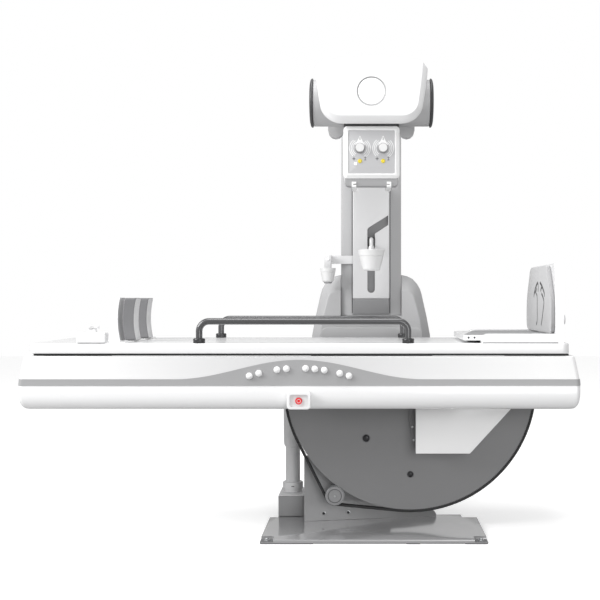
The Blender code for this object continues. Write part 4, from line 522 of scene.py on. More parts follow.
def belt(name, stations, body, *nodes):
    """Sweep the belt's section along stations of (point, outward direction)."""
    front, back, soft = belt_low[1], belt_high[1], 0.0012
    section = [
        (0.0, front + soft),
        (soft, front),
        (belt_back * 0.44, front),
        (belt_back * 0.48, front + soft),
        (belt_back * 0.60, front + soft),
        (belt_back * 0.64, front),
        (belt_back - soft, front),
        (belt_back, front + soft),
        (belt_back, back - soft),
        (belt_back - soft, back),
        (soft, back),
        (0.0, back - soft),
    ]
    rings = []
    for place, out in stations:
        spots = [(place + out * lift, y) for lift, y in section]
        rings.append([(spot.x, y, spot.y) for spot, y in spots])
    obj = swept(name, rings)
    cords = [abs(p.center.y - front - soft) < 0.0002 and len(p.vertices) == 4 for p in obj.data.polygons]
    two_tones(obj, rubber_black, cord_grey, cords)
    show(obj, None, "belt_rubber", body, *nodes)


def around(centre, radius, start, end, steps):
    """Stations for the belt on an arc, by angles from straight down."""
    ways = [outward(start + (end - start) * i / steps) for i in range(steps + 1)]
    return [(centre + way * radius, way) for way in ways]


belt("belt_rim_foot", around(hub, inner_radius, -anchor_angle, leave_angle, 160), "tilt_frame", "drive_belt")
belt("belt_rim_head", around(hub, inner_radius, return_angle, anchor_angle, 60), "tilt_frame")
loop = around(hub, inner_radius, leave_angle - 0.004, leave_angle, 2)
loop += around(pulley_centre, wrap_radius, leave_angle, return_angle, 40)
loop += around(hub, inner_radius, return_angle, return_angle + 0.004, 2)
belt("belt_loop", loop, "stand")

# Drive pulley: a turned toothed barrel between two flanges, on the shaft of the tilt gearmotor.
# Its front face is painted, with a turned groove and one bolt in the middle.
paint_node("drive_pulley", zinc, 0.0006)
paint_node("drive_gearmotor", dark_bolt, 0.0008)
pulley_paint = coated("pulley_paint", (0.26, 0.26, 0.265), 0.34, mottle=0.2)
face_at = (pulley_centre.x, pulley_low[1], pulley_centre.y)
disc = [
    (0.0, 0.0028),
    (0.0270, 0.0028),
    (0.0276, 0.0012),
    (0.0292, 0.0012),
    (0.0298, 0.0034),
    (0.0372, 0.0034),
    (0.0392, 0.0018),
    (0.0396, 0.0001),
    (0.0, 0.0001),
]
show(turned("pulley_face", disc, "Y", face_at, 96), pulley_paint, "steel", "pulley")
groove = [(0.0276, 0.0013), (0.0276, 0.0017), (0.0292, 0.0017), (0.0292, 0.0013)]
show(turned("pulley_groove", groove, "Y", face_at, 96), rubber_black, "dark_metal", "pulley")
cap = [(0.0, 0.0050), (0.0050, 0.0050), (0.0056, 0.0044), (0.0056, 0.0027)]
show(turned("pulley_bolt", cap, "Y", face_at, 6), zinc, "steel", "pulley")

# Frames hidden in the body: welded ladder frame, cradle with its runners, bronze bushes and the
# trunnion shaft. The white cover under the body is a bent shell, hung on the sector by a flange.
white_gloss = coated("white_moulding", (0.82, 0.82, 0.825), 0.24, shade=0.96, mottle=0.3, coat=0.4)
frame_paint = coated("frame_paint", (0.40, 0.40, 0.41), 0.45, mottle=0.3)
bronze = coated("sintered_bronze", (0.42, 0.29, 0.13), 0.38, metallic=1.0, mottle=0.5)
for node, material, width in (
    ("table_frame", frame_paint, 0.002),
    ("cradle_frame", stand_grey, 0.002),
    ("trunnion_shaft", zinc, 0.0008),
    ("trunnion_bush_front", bronze, 0.0006),
    ("trunnion_bush_rear", bronze, 0.0006),
    ("column_rail", zinc, 0.0006),
):
    paint_node(node, material, width)
cover_low, cover_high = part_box("cradle_cover")
cover_top, cover_foot_x = 0.536, 0.7041
cover_wall = 0.004
cover_outline = [
    (cover_low[0], cover_low[2]),
    (cover_foot_x, cover_low[2]),
    (cover_high[0], cover_top),
    (cover_low[0], cover_top),
]
cover = pressed("cradle_cover_dressed", cover_outline, cover_low[1], cover_high[1] - cover_low[1], 0.0025)
hollow_outline = [
    (cover_low[0] + cover_wall, cover_low[2] + cover_wall),
    (cover_foot_x - 0.005, cover_low[2] + cover_wall),
    (cover_high[0] - 0.010, cover_top - cover_wall),
    (cover_low[0] + cover_wall, cover_top - cover_wall),
]
cut(cover, pressed("hollow", hollow_outline, cover_low[1] + cover_wall, 0.2))
cover_white = coated("cover_white", (0.95, 0.95, 0.95), 0.24, shade=0.98, mottle=0.2, coat=0.4)
show(cover, cover_white, "white_gloss", "tilt_frame", "cradle_cover")
flange_edge = [
    (-0.026, 0.475),
    (-0.024, 0.452),
    (-0.016, 0.405),
    (-0.006, 0.352),
    (-0.0006, 0.338),
]
flange_edge = [(-0.026, chord_z - 0.001), *flange_edge, (-0.0006, chord_z - 0.001)]
flange_outline = [(cover_low[0] + x, z) for x, z in flange_edge]
flange = pressed("cover_flange", flange_outline, sector_low[1] - 0.012, 0.0117, 0.0012)
flange_grey = coated("flange_paint", (0.17, 0.17, 0.173), 0.4)
show(flange, flange_grey, "grey_paint", "tilt_frame")
screw = [(0.0, 0.0008), (0.0022, 0.0008), (0.0022, 0.0024), (0.0040, 0.0020), (0.0052, 0.0), (0.0, 0.0)]
for name, x, z in (("upper", 0.4655, 0.4350), ("lower", 0.4716, 0.3790)):
    head = turned("flange_screw_" + name, screw, "Y", (x, sector_low[1] - 0.0121, z), 28)
    show(head, zinc, "steel", "tilt_frame")

# Table body: two long moulded fascias and two moulded ends with rounded noses, white below and
# pale grey above a grey band that rises round the push buttons.
body_pale = coated("fascia_pale", (0.68, 0.68, 0.685), 0.28, shade=0.95, mottle=0.3, coat=0.3)


def painted_reflection_fade(material, middle, ends, near, far):
    """Paint a reflection into a coat: darker near the middle of the table, lighter towards its far ends."""
    nodes, links = material.node_tree.nodes, material.node_tree.links
    place = next(node for node in nodes if node.type == "TEX_COORD")
    skin = next(node for node in nodes if node.type == "GROUP")
    split = nodes.new("ShaderNodeSeparateXYZ")
    away = nodes.new("ShaderNodeMath")
    away.operation = "ABSOLUTE"
    share = nodes.new("ShaderNodeMapRange")
    share.inputs["From Min"].default_value = near
    share.inputs["From Max"].default_value = far
    blend = nodes.new("ShaderNodeMix")
    blend.data_type = "RGBA"
    blend.inputs["A"].default_value = (*middle, 1.0)
    blend.inputs["B"].default_value = (*ends, 1.0)
    links.new(place.outputs["Object"], split.inputs[0])
    links.new(split.outputs["X"], away.inputs[0])
    links.new(away.outputs[0], share.inputs["Value"])
    links.new(share.outputs["Result"], blend.inputs["Factor"])
    links.new(blend.outputs["Result"], skin.inputs["Colour"])
    links.new(blend.outputs["Result"], skin.inputs["Shade"])


# The pale coat is painted darker in the middle of the table and lighter at its ends: a painted reflection of
# the studio on the glossy fascia.
painted_reflection_fade(body_pale, (0.66, 0.66, 0.665), (0.90, 0.90, 0.90), 0.10, 1.00)
band_grey = coated("band_foil", (0.36, 0.36, 0.365), 0.33, shade=0.95, mottle=0.2)
cap_start = 0.96
end_corner = 0.018
body_wall = 0.004
white_top = 0.640
# Half width and end reach of the body at each height, from the middle of its top to its bottom
body_profile = [
    (0.0, 0.7540, 1.1010),
    (0.320, 0.7540, 1.1010),
    (0.3385, 0.7538, 1.1030),
    (0.3430, 0.7522, 1.1055),
    (0.3450, 0.7490, 1.1075),
    (0.3449, 0.7440, 1.1090),
    (0.3440, 0.7250, 1.1140),
    (0.3430, 0.7000, 1.1195),
    (0.3422, 0.6800, 1.1240),
    (0.3418, 0.6600, 1.1275),
    (0.3417, 0.6470, 1.1290),
    (0.3420, 0.6340, 1.1300),
    (0.3432, 0.6260, 1.1305),
    (0.3446, 0.6150, 1.1305),
    (0.3450, 0.6020, 1.1302),
    (0.3447, 0.5890, 1.1295),
    (0.3430, 0.5760, 1.1280),
    (0.3390, 0.5630, 1.1250),
    (0.3325, 0.5520, 1.1205),
    (0.3240, 0.5440, 1.1150),
    (0.3140, 0.5392, 1.1100),
    (0.3020, 0.5370, 1.1055),
    (0.2700, 0.5370, 1.1040),
    (0.2690, 0.5520, 1.1040),
    (0.0, 0.5520, 1.1040),
]
# Middles of the nine push buttons along the body, and the front of the band that they stand on
button_places = (-0.200, -0.162, -0.089, -0.051, 0.026, 0.063, 0.101, 0.163, 0.200)
button_seat = -0.3418


def body_at(height):
    """Half width and end reach of the body's side at a height."""
    least_half = 0.3
    rows = [row for row in body_profile if least_half <= row[0]]
    for (b0, z0, e0), (b1, z1, e1) in zip(rows, rows[1:]):
        if z1 <= height <= z0:
            share = (z0 - height) / max(z0 - z1, 1e-9)
            return b0 + (b1 - b0) * share, e0 + (e1 - e0) * share
    return rows[-1][0], rows[-1][2]


def end_plan(half_width, reach, sign):
    """Plan of a moulded end from its front edge round to its rear edge: a bar with rounded corners."""
    soft = min(end_corner, half_width)
    straight = reach - end_corner
    front = [(cap_start, -half_width), (cap_start + 0.0006, -half_width)]
    front += [(cap_start + (straight - cap_start) * i / 4, -half_width) for i in range(1, 4)]
    for x, y in arc((0.0, 0.0), 1.0, -90, 0, 14):
        front.append((straight + x * end_corner, soft - half_width + y * soft))
    face = [(reach, (half_width - soft) * (i / 6 - 1)) for i in range(1, 12)]
    rear = [(x, -y) for x, y in reversed(front)]
    return [(sign * x, y) for x, y in front + face + rear]


def walled(obj, thickness, offset):
    """Thicken a skin, inward at an offset of -1 and outward at 1."""
    wall = obj.modifiers.new("wall", "SOLIDIFY")
    wall.thickness = thickness
    wall.offset = offset


def moulded_end(name, sign, node):
    """One end of the body: its skin round the corners, thickened inward."""
    points, faces, tones = [], [], []
    for half_width, z, reach in body_profile:
        plan = end_plan(half_width, reach, sign)
        points += [(x, y, z) for x, y in plan]
    across = len(plan)
    for i in range(len(body_profile) - 1):
        for j in range(across - 1):
            a = i * across + j
            faces.append((a, a + 1, a + across + 1, a + across))
            tones.append(0 if body_profile[i][1] > white_top else 1)
    obj = solid(name, points, faces)
    two_tones(obj, body_pale, white_gloss, tones)
    work = bmesh.new()
    work.from_mesh(obj.data)
    bmesh.ops.remove_doubles(work, verts=work.verts, dist=0.00001)
    bmesh.ops.dissolve_degenerate(work, edges=work.edges, dist=0.00001)
    bmesh.ops.recalc_face_normals(work, faces=work.faces)
    outward_face = max(work.faces, key=lambda f: sign * f.calc_center_median().x)
    if outward_face.normal.x * sign < 0:
        bmesh.ops.reverse_faces(work, faces=work.faces)
    work.to_mesh(obj.data)
    work.free()
    walled(obj, body_wall, -1.0)
    show(obj, None, "white_gloss", "table_body", node)


moulded_end("head_end_dressed", -1, "head_end_cap")
moulded_end("foot_end_dressed", 1, "foot_end_cap")


def button_height(x):
    """Height of a push button on the arched band."""
    return 0.704 - 0.77 * x * x


def drill_buttons(obj):
    """Holes for the push buttons through a skin of the body's front."""
    for x in button_places:
        bit = [(0.0, -0.012), (0.0150, -0.012), (0.0150, 0.012), (0.0, 0.012)]
        cut(obj, turned("button_hole", bit, "Y", (x, button_seat, button_height(x)), 40))


def fascia(name, sign, top, node):
    """A long side of the body between its ends, up to a top height: the front one at sign -1."""
    inner_edge, top_edge, belly = 0.269, 0.320, 0.548
    rows = [(b, z) for b, z, _ in body_profile if inner_edge < b and z <= top + 1e-6]
    if sign < 0:
        rows = [row for row in rows if row[0] != top_edge]
    else:
        rows = [(body_at(top)[0], top)] + rows
    inner = [(b - body_wall, z) if z > belly else (b, z + body_wall) for b, z in reversed(rows)]
    outline = [(sign * b, z) for b, z in rows + inner]
    obj = pressed(name, outline, -cap_start, 2 * cap_start, 0.0, 1, "YZ")
    if sign < 0:
        drill_buttons(obj)
    tones = [0 if polygon.center.z > white_top else 1 for polygon in obj.data.polygons]
    two_tones(obj, body_pale, white_gloss, tones)
    show(obj, None, "white_gloss", "table_body", node)


fascia("front_fascia_dressed", -1, 0.754, "front_fascia")
fascia("rear_fascia_dressed", 1, 0.711, "rear_fascia")
paint_node("belly_pan", white_gloss, 0.0006)


band_low, band_high = 0.634, 0.660
crest_rise, crest_reach = 0.078, 0.50


def band_crest(x):
    """Upper edge of the band along the front, arched round the push buttons."""
    share = min(abs(x) / crest_reach, 1.0)
    return band_high + crest_rise * (0.5 + 0.5 * math.cos(math.pi * share))


band_rows, band_columns = 10, 80
proud = 0.0011
rings = []
for row in range(band_rows + 1):
    share = row / band_rows
    level = band_low + (band_high - band_low) * share
    half_width, reach = body_at(level)
    ends = [end_plan(half_width + proud, reach + proud, sign) for sign in (-1, 1)]
    ring = [(x, y, level) for x, y in reversed(ends[0])]
    for i in range(1, 2 * band_columns):
        x = cap_start * (i / band_columns - 1)
        z = band_low + (band_crest(x) - band_low) * share
        ring.append((x, -(body_at(z)[0] + proud), z))
    rings.append(ring + [(x, y, level) for x, y in ends[1]])
points = [point for column in zip(*rings) for point in column]
faces = []
tall = band_rows + 1
for i in range(len(rings[0]) - 1):
    for j in range(band_rows):
        a = i * tall + j
        faces.append((a, a + tall, a + tall + 1, a + 1))
band = solid("grey_band", points, faces)
walled(band, 0.001, 1.0)
drill_buttons(band)
show(band, band_grey, "grey_trim", "table_body", "decor_band")

# Nine push buttons, domed caps moulded in glossy white plastic. They stand in drilled holes along
# the arch of the band, in groups of two, two, three and two.
cap_white = coated("button_cap_white", (0.84, 0.84, 0.845), 0.2, shade=0.97, coat=0.5)
dome = [
    (0.0, 0.0168),
    (0.0040, 0.0164),
    (0.0075, 0.0150),
    (0.0105, 0.0126),
    (0.0128, 0.0092),
    (0.0141, 0.0055),
    (0.0145, 0.0020),
    (0.0145, -0.0020),
    (0.0, -0.0020),
]
for number, x in enumerate(button_places, 1):
    button = turned("push_button_%d" % number, dome, "Y", (x, button_seat, button_height(x)), 48)
    show(button, cap_white, "button_white", "button_%d" % number, "control_button_%d" % number)

# Emergency stop, low on the body's front: a white moulded frame with a rounded well cut in it and
# a pale floor. Its red plastic button has a white ring let into its face.
stop_low, stop_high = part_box("emergency_stop_housing")
stop_x = middle_of("emergency_stop_housing")[0]
stop_z = 0.5755
well_grey = coated("stop_well", (0.74, 0.74, 0.745), 0.3)


def rounded_box(x, z, radius, steps=8):
    """Outline of a box between pairs of low and high values, with rounded corners."""
    corners = ((x[1], z[0], -90), (x[1], z[1], 0), (x[0], z[1], 90), (x[0], z[0], 180))
    points = []
    for a, b, start in corners:
        inner = (a - math.copysign(radius, a - sum(x) / 2), b - math.copysign(radius, b - sum(z) / 2))
        points += arc(inner, radius, start, start + 90, steps)
    return points


housing = pressed(
    "stop_frame",
    rounded_box((stop_low[0], stop_high[0]), (stop_low[2], stop_high[2]), 0.014),
    stop_low[1],
    stop_high[1] - stop_low[1] + 0.004,
    0.003,
    4,
)
well_size = ((stop_low[0] + 0.011, stop_high[0] - 0.011), (stop_low[2] + 0.0105, stop_high[2] - 0.014))
well_round = 0.009
cut(housing, pressed("well", rounded_box(*well_size, well_round), stop_low[1] - 0.01, 0.0195, 0.001))
stop_at = (stop_x, stop_low[1] + 0.0084, stop_z)
bore = [(0.0, -0.0075), (0.0141, -0.0075), (0.0141, 0.0060), (0.0, 0.0060)]
cut(housing, turned("stop_bore", bore, "Y", stop_at, 64))
show(housing, white_gloss, "white_gloss", "table_body", "emergency_stop_housing")
play = 0.0004
floor_size = [(low + play, high - play) for low, high in well_size]
floor_outline = rounded_box(*floor_size, well_round - play)
well_floor = pressed("stop_well_floor", floor_outline, stop_low[1] + 0.0085, 0.0009)
cut(well_floor, turned("stop_floor_bore", bore, "Y", stop_at, 64))
show(well_floor, well_grey, "white_gloss", "table_body")
signal_red = coated("signal_red", (0.75, 0.01, 0.015), 0.28, mottle=0.1, coat=0.4)
red_cap = [(0.0, 0.0088), (0.0055, 0.0088), (0.0062, 0.0080), (0.0062, 0.0066), (0.0, 0.0066)]
white_ring = [(0.0062, 0.0070), (0.0062, 0.0082), (0.0078, 0.0082), (0.0084, 0.0076), (0.0084, 0.0066)]
red_ring = [
    (0.0084, 0.0060),
    (0.0084, 0.0086),
    (0.0092, 0.0094),
    (0.0122, 0.0092),
    (0.0135, 0.0078),
    (0.0135, 0.0012),
    (0.0, 0.0012),
]
stop_ring = turned("stop_button_ring", red_ring, "Y", stop_at, 64)
show(stop_ring, signal_red, "red_button", "stop_button", "emergency_stop_button")
inlay = turned("stop_button_inlay", white_ring, "Y", stop_at, 64)
show(inlay, cap_white, "button_white", "stop_button")
stop_middle = turned("stop_button_middle", red_cap, "Y", stop_at, 64)
show(stop_middle, signal_red, "red_button", "stop_button")

# Tabletop: one flat panel with a white gloss skin and eased edges, on the slides of the ladder
# frame. A black strip in the gap between the panel and the body is painted shade.
top_low, top_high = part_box("tabletop")
top_round, top_edge = 0.030, 0.0045
top_outline = rounded_box((top_low[0], top_high[0]), (top_low[1], top_high[1]), top_round, 12)
skin_low = top_low[2] - 0.0032
skin_tall = top_high[2] - skin_low
table_panel = pressed("tabletop_dressed", top_outline, skin_low, skin_tall, top_edge, 4, "XY", 60)
show(table_panel, white_gloss, "white_gloss", "tabletop", "tabletop")
# The black strip is painted shade in the gap between the tabletop and the body.
gap_shade_x, gap_shade_y, gap_shade_z = (-1.068, 1.083), (-0.335, -0.329), (0.7548, 0.7622)
gap_shade_strip = block("gap_painted_shade", gap_shade_x, gap_shade_y, gap_shade_z, 0.0005)
show(gap_shade_strip, rubber_black, "dark_plastic", "table_body")

# Two handrails along the tabletop's edges, of steel tube bent at both ends and painted dark gloss.
# Each one stands on two turned collars with a fine groove.
rail_paint = coated("handrail_paint", (0.085, 0.085, 0.088), 0.26, metallic=0.35, mottle=0.2, coat=0.5)
collar_dark = coated("collar_finish", (0.05, 0.05, 0.052), 0.3, metallic=0.4, mottle=0.3)


def tube(name, corners, radius, bend, sides=28, turn_steps=14):
    """A bent tube through corners, with each turn on a radius."""
    path = [Vector(corners[0])]
    for before, corner, after in zip(corners, corners[1:], corners[2:]):
        corner = Vector(corner)
        back = (Vector(before) - corner).normalized()
        on = (Vector(after) - corner).normalized()
        half = back.angle(on) / 2
        middle = corner + (back + on).normalized() * bend / math.sin(half)
        start = corner + back * bend / math.tan(half) - middle
        end = corner + on * bend / math.tan(half) - middle
        swing = start.angle(end)
        for i in range(turn_steps + 1):
            share = i / turn_steps
            near = math.sin((1 - share) * swing) / math.sin(swing)
            far = math.sin(share * swing) / math.sin(swing)
            path.append(middle + start * near + end * far)
    path.append(Vector(corners[-1]))
    rings = []
    guide = (path[1] - path[0]).orthogonal().normalized()
    for i, spot in enumerate(path):
        ahead = path[min(i + 1, len(path) - 1)] - path[max(i - 1, 0)]
        ahead.normalize()
        guide = (guide - ahead * guide.dot(ahead)).normalized()
        side = ahead.cross(guide)
        angles = [2 * math.pi * k / sides for k in range(sides)]
        rings.append([spot + (guide * math.cos(a) + side * math.sin(a)) * radius for a in angles])
    return swept(name, rings)


rail_ends, rail_side = (-0.404, 0.438), 0.325
rail_foot = top_high[2] + 0.0003
rail_level = top_high[2] + 0.088
rail_radius, rail_bend = 0.0133, 0.040
collar = [
    (0.0, 0.0),
    (0.0220, 0.0),
    (0.0236, 0.0010),
    (0.0240, 0.0030),
    (0.0240, 0.0075),
    (0.0228, 0.0090),
    (0.0240, 0.0104),
    (0.0240, 0.0160),
    (0.0225, 0.0184),
    (0.0190, 0.0196),
    (0.0140, 0.0200),
    (0.0, 0.0200),
]
for side, y in (("front", -rail_side), ("rear", rail_side)):
    up = [(rail_ends[0], y, rail_foot + 0.015), (rail_ends[0], y, rail_level)]
    down = [(rail_ends[1], y, rail_level), (rail_ends[1], y, rail_foot + 0.015)]
    rail = tube("handrail_tube_" + side, up + down, rail_radius, rail_bend)
    show(rail, rail_paint, "dark_metal", "rail_" + side, "handrail_" + side)
    for end, x in zip(("head", "foot"), rail_ends):
        stand_collar = turned("collar_%s_%s" % (side, end), collar, "Z", (x, y, rail_foot), 56)
        show(stand_collar, collar_dark, "dark_metal", "rail_" + side)

# Shoulder rests: foam pads on white moulded shells, on a cross plate clamped to the tabletop's
# edge by a block with a small winged knob.
paint_node("shoulder_rest_frame", white_gloss)
pad_side = coated("pad_edging", (0.16, 0.16, 0.165), 0.5, mottle=0.3, grain=400.0, bump=0.05)
pad_face = coated("pad_vinyl", (0.56, 0.56, 0.565), 0.48, mottle=0.25, grain=350.0, bump=0.06)


def foam_pad(node):
    """A curved foam pad from a grid across (j) and up (i) the pad, in layers from its face to its back."""
    low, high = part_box(node)
    _, middle_y, middle_z = middle_of(node)
    half_wide, half_tall = (high[1] - low[1]) / 2, (high[2] - low[2]) / 2 - 0.0008
    front_x, face_radius, thick = -0.700, 0.360, 0.0455
    rows, columns = 14, 8

    def pad_point(u, v, depth):
        angle = v * math.asin(half_tall / (face_radius + depth))
        crown = 0.0035 * (1 - u**4) * (1 - v**4) * (1 if depth < 0.001 else 0.0)
        radius = face_radius + depth - crown
        pull = 1.0 - 0.02 * (1 - abs(v) ** 2) * (0.5 - abs(depth / thick - 0.5))
        return (
            front_x + face_radius - radius * math.cos(angle),
            middle_y + u * half_wide * pull,
            middle_z + radius * math.sin(angle),
        )

    layers = [0.0, thick * 0.06, thick * 0.5, thick * 0.94, thick]
    last = len(layers) - 1
    points, faces, tones, grid = [], [], [], {}
    for layer, depth in enumerate(layers):
        for i in range(rows + 1):
            for j in range(columns + 1):
                edge = i in (0, rows) or j in (0, columns)
                if 0 < layer < last and not edge:
                    continue
                grid[layer, i, j] = len(points)
                points.append(pad_point(-1 + 2 * j / columns, -1 + 2 * i / rows, depth))

    def quad(a, b, c, d, tone):
        faces.append((grid[a], grid[b], grid[c], grid[d]))
        tones.append(tone)

    for i in range(rows):
        for j in range(columns):
            quad((0, i, j), (0, i, j + 1), (0, i + 1, j + 1), (0, i + 1, j), 1)
            quad((last, i, j), (last, i + 1, j), (last, i + 1, j + 1), (last, i, j + 1), 0)
    for k in range(last):
        for i in range(rows):
            for j in (0, columns):
                quad((k, i, j), (k, i + 1, j), (k + 1, i + 1, j), (k + 1, i, j), 0)
        for j in range(columns):
            for i in (0, rows):
                quad((k, i, j), (k, i, j + 1), (k + 1, i, j + 1), (k + 1, i, j), 0)
    pad = solid(node + "_foam", points, faces)
    two_tones(pad, pad_side, pad_face, tones)
    face_out(pad)
    smooth = pad.modifiers.new("soft_edges", "SUBSURF")
    smooth.levels = 2
    smooth.render_levels = 2
    show(pad, None, "pad_foam", "shoulder_rest", node)
    pad.data.shade_smooth()


foam_pad("shoulder_pad_front")
foam_pad("shoulder_pad_rear")
knob_low, knob_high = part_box("shoulder_rest_knob")
knob_at = (*middle_of("shoulder_rest_knob")[:2], knob_low[2])
stem = [
    (0.0, 0.0),
    (0.0195, 0.0),
    (0.0200, 0.0008),
    (0.0190, 0.0030),
    (0.0172, 0.0040),
    (0.0170, 0.0120),
    (0.0160, 0.0140),
    (0.0, 0.0140),
]
knob_stem = turned("clamp_knob_stem", stem, "Z", knob_at, 48)
show(knob_stem, sleeve_grey, "pale_plastic", "shoulder_knob", "shoulder_rest_knob")
wing_outline = []
for i in range(120):
    angle = 2 * math.pi * i / 120
    reach = 0.0215 + 0.0072 * math.cos(3 * angle)
    wing_outline.append((knob_at[0] + reach * math.cos(angle), knob_at[1] + reach * math.sin(angle)))
wing_foot, wing_tall = knob_low[2] + 0.0145, knob_high[2] - knob_low[2] - 0.0147
wings = pressed("clamp_knob_wings", wing_outline, wing_foot, wing_tall, 0.003, 3, "XY", 60)
show(wings, cap_white, "pale_plastic", "shoulder_knob")

# Footrest: a white moulded base with a grey tread, and a pale standing board in front of its shell.
# A line drawing of two feet is pressed into the board.
paint_node("footrest_base", white_gloss)
tread_grey = coated("tread_grey", (0.27, 0.27, 0.275), 0.42, mottle=0.3, grain=260.0, bump=0.12)
board_pale = coated("board_pale", (0.55, 0.55, 0.555), 0.36, mottle=0.25, grain=300.0, bump=0.05)
line_grey = coated("pressed_line", (0.05, 0.05, 0.052), 0.5)
board_low, board_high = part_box("footrest_board")
foot_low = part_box("footrest_base")[0]
tread_left, tread_back, tread_half = foot_low[0], board_low[0] - 0.001, 0.2945
tread_top = foot_low[2] + 0.032
tread_outline = [
    (tread_left + 0.014, -tread_half),
    (tread_back, -tread_half),
    (tread_back, tread_half),
    *arc((tread_left + 0.126, tread_half - 0.038), 0.038, 90, 166, 8),
    *arc((tread_left + 0.014, 0.011 - tread_half), 0.011, 180, 270, 6)[:-1],
]
tread = pressed("footrest_tread", tread_outline, tread_top, 0.0022, 0.0008, 2, "XY", 50)
show(tread, tread_grey, "grey_trim", "footrest")
screw = [(0.0, 0.0012), (0.0034, 0.0012), (0.0042, 0.0006), (0.0044, 0.0), (0.0, 0.0)]
for name, x in (("head", 0.684), ("foot", 0.708)):
    head = turned("tread_screw_" + name, screw, "Y", (x, -0.2966, foot_low[2] + 0.021), 28)
    show(head, dark_bolt, "dark_metal", "footrest")
# Heights and half widths of the standing board
board_rows = [
    (0.8426, 0.292),
    (0.848, 0.312),
    (0.858, 0.327),
    (0.872, 0.335),
    (0.890, 0.3375),
    (0.940, 0.3365),
    (0.967, 0.332),
    (1.000, 0.3175),
    (1.031, 0.2955),
    (1.065, 0.269),
    (1.096, 0.2445),
    (1.108, 0.2345),
    (1.1165, 0.2225),
    (1.1215, 0.205),
    (1.1236, 0.180),
]


def board_side(z):
    """Half width of the standing board at a height."""
    for (z0, w0), (z1, w1) in zip(board_rows, board_rows[1:]):
        if z <= z1:
            return w0 + (w1 - w0) * (z - z0) / (z1 - z0)
    return board_rows[-1][1]


between = (0.8448, 0.853, 0.865, 0.880, 0.915, 0.985, 1.015)
heights = sorted([z for z, _ in board_rows] + list(between))
board_outline = [(-board_side(z), z) for z in heights] + [(board_side(z), z) for z in reversed(heights)]
board_thick = board_high[0] - board_low[0]
board = pressed("standing_board", board_outline, board_low[0], board_thick, 0.0035, 4, "YZ", 60)
board_edge = coated("board_edge", (0.33, 0.33, 0.335), 0.4, mottle=0.25, grain=300.0)
tones = [1 if abs(polygon.normal.y) > 0.35 else 0 for polygon in board.data.polygons]
two_tones(board, board_pale, board_edge, tones)
show(board, None, "grey_trim", "footrest", "footrest_board")
# A dark strip along the footrest's cheek is painted shadow between the cheek and the tabletop.
cheek_shadow_y = (foot_low[1] - 0.0012, foot_low[1] + 0.003)
cheek_shadow_strip = block("cheek_painted_shadow", (0.737, 1.040), cheek_shadow_y, (0.8042, 0.8078), 0.0006, 2)
show(cheek_shadow_strip, pad_side, "dark_plastic", "footrest")


def stroke(name, path, width, x):
    """A pressed line on the board: a thin ribbon of rounded section along a path in Y and Z."""
    rings = []
    for i, (y, z) in enumerate(path):
        ahead = Vector(path[min(i + 1, len(path) - 1)]) - Vector(path[max(i - 1, 0)])
        side = Vector((-ahead.y, ahead.x)).normalized() * width / 2
        edges = [(x, y - side.x, z - side.y), (x, y + side.x, z + side.y)]
        rings.append([edges[0], (x - 0.0005, y, z), edges[1], (x + 0.0006, y, z)])
    return swept(name, rings)


def between_points(a, b, c, d, t):
    """One coordinate of the Catmull-Rom curve between b and c, at a share t of the way."""
    bend = (2 * a - 5 * b + 4 * c - d) * t**2
    return 0.5 * (2 * b + (c - a) * t + bend + (3 * b - a - 3 * c + d) * t**3)


def smooth_path(points, steps=6):
    """Curve through points."""
    ends = [points[0], *points, points[-1]]
    path = []
    for four in zip(ends, ends[1:], ends[2:], ends[3:]):
        for i in range(steps):
            path.append(tuple(between_points(*each, i / steps) for each in zip(*four)))
    path.append(points[-1])
    return path


foot_lines = [
    [(0.115, 0.993), (0.103, 1.008), (0.068, 1.031), (0.010, 1.052), (-0.008, 1.035), (-0.002, 1.014)],
    [(0.084, 1.007), (0.059, 1.017), (0.035, 1.030)],
    [(0.044, 1.006), (0.023, 0.993), (0.020, 0.950), (0.020, 0.893), (0.044, 0.871)],
    [(-0.055, 1.052), (-0.096, 1.041), (-0.135, 1.024), (-0.169, 1.005), (-0.172, 0.992)],
    [(-0.072, 1.015), (-0.090, 1.029), (-0.113, 1.034)],
    [(-0.096, 1.005), (-0.130, 0.992), (-0.158, 0.969), (-0.135, 0.932), (-0.113, 0.900), (-0.087, 0.871)],
]
for number, line in enumerate(foot_lines, 1):
    mark = stroke("foot_line_%d" % number, smooth_path(line), 0.0120, board_low[0] - 0.0001)
    show(mark, line_grey, "dark_plastic", "footrest")
knob_low, knob_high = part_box("footrest_knob")
knob_radius = (knob_high[2] - knob_low[2]) / 2
knob_long = knob_high[0] - knob_low[0]
grip = [
    (0.0, 0.0),
    (knob_radius * 0.70, 0.0),
    (knob_radius * 0.72, 0.006),
    (knob_radius * 0.92, 0.0085),
    (knob_radius, 0.012),
    (knob_radius, knob_long - 0.005),
    (knob_radius * 0.92, knob_long - 0.001),
    (knob_radius * 0.75, knob_long),
    (0.0, knob_long),
]
grip_at = (knob_low[0], *middle_of("footrest_knob")[1:])
knob_grip = turned("footrest_knob_grip", grip, "X", grip_at, 48)
show(knob_grip, sleeve_grey, "pale_plastic", "foot_knob", "footrest_knob")

# Foot of the tube column: a moulded housing with faceted shoulders on a steel carriage, which runs
# on the rail behind the table body.
tower_grey = coated("tower_moulding", (0.41, 0.41, 0.415), 0.4, mottle=0.25, grain=500.0)
pale_shell = coated("pale_moulding", (0.68, 0.68, 0.685), 0.4, mottle=0.25)
column_white = coated("column_white", (0.58, 0.58, 0.585), 0.36, mottle=0.22)
column_grey = coated("column_side", (0.40, 0.40, 0.405), 0.4, mottle=0.25)
shadow_grey = coated("skirt_grey", (0.27, 0.27, 0.275), 0.45, mottle=0.3)
slot_dark = coated("slot_lining", (0.29, 0.29, 0.295), 0.6, mottle=0.3)


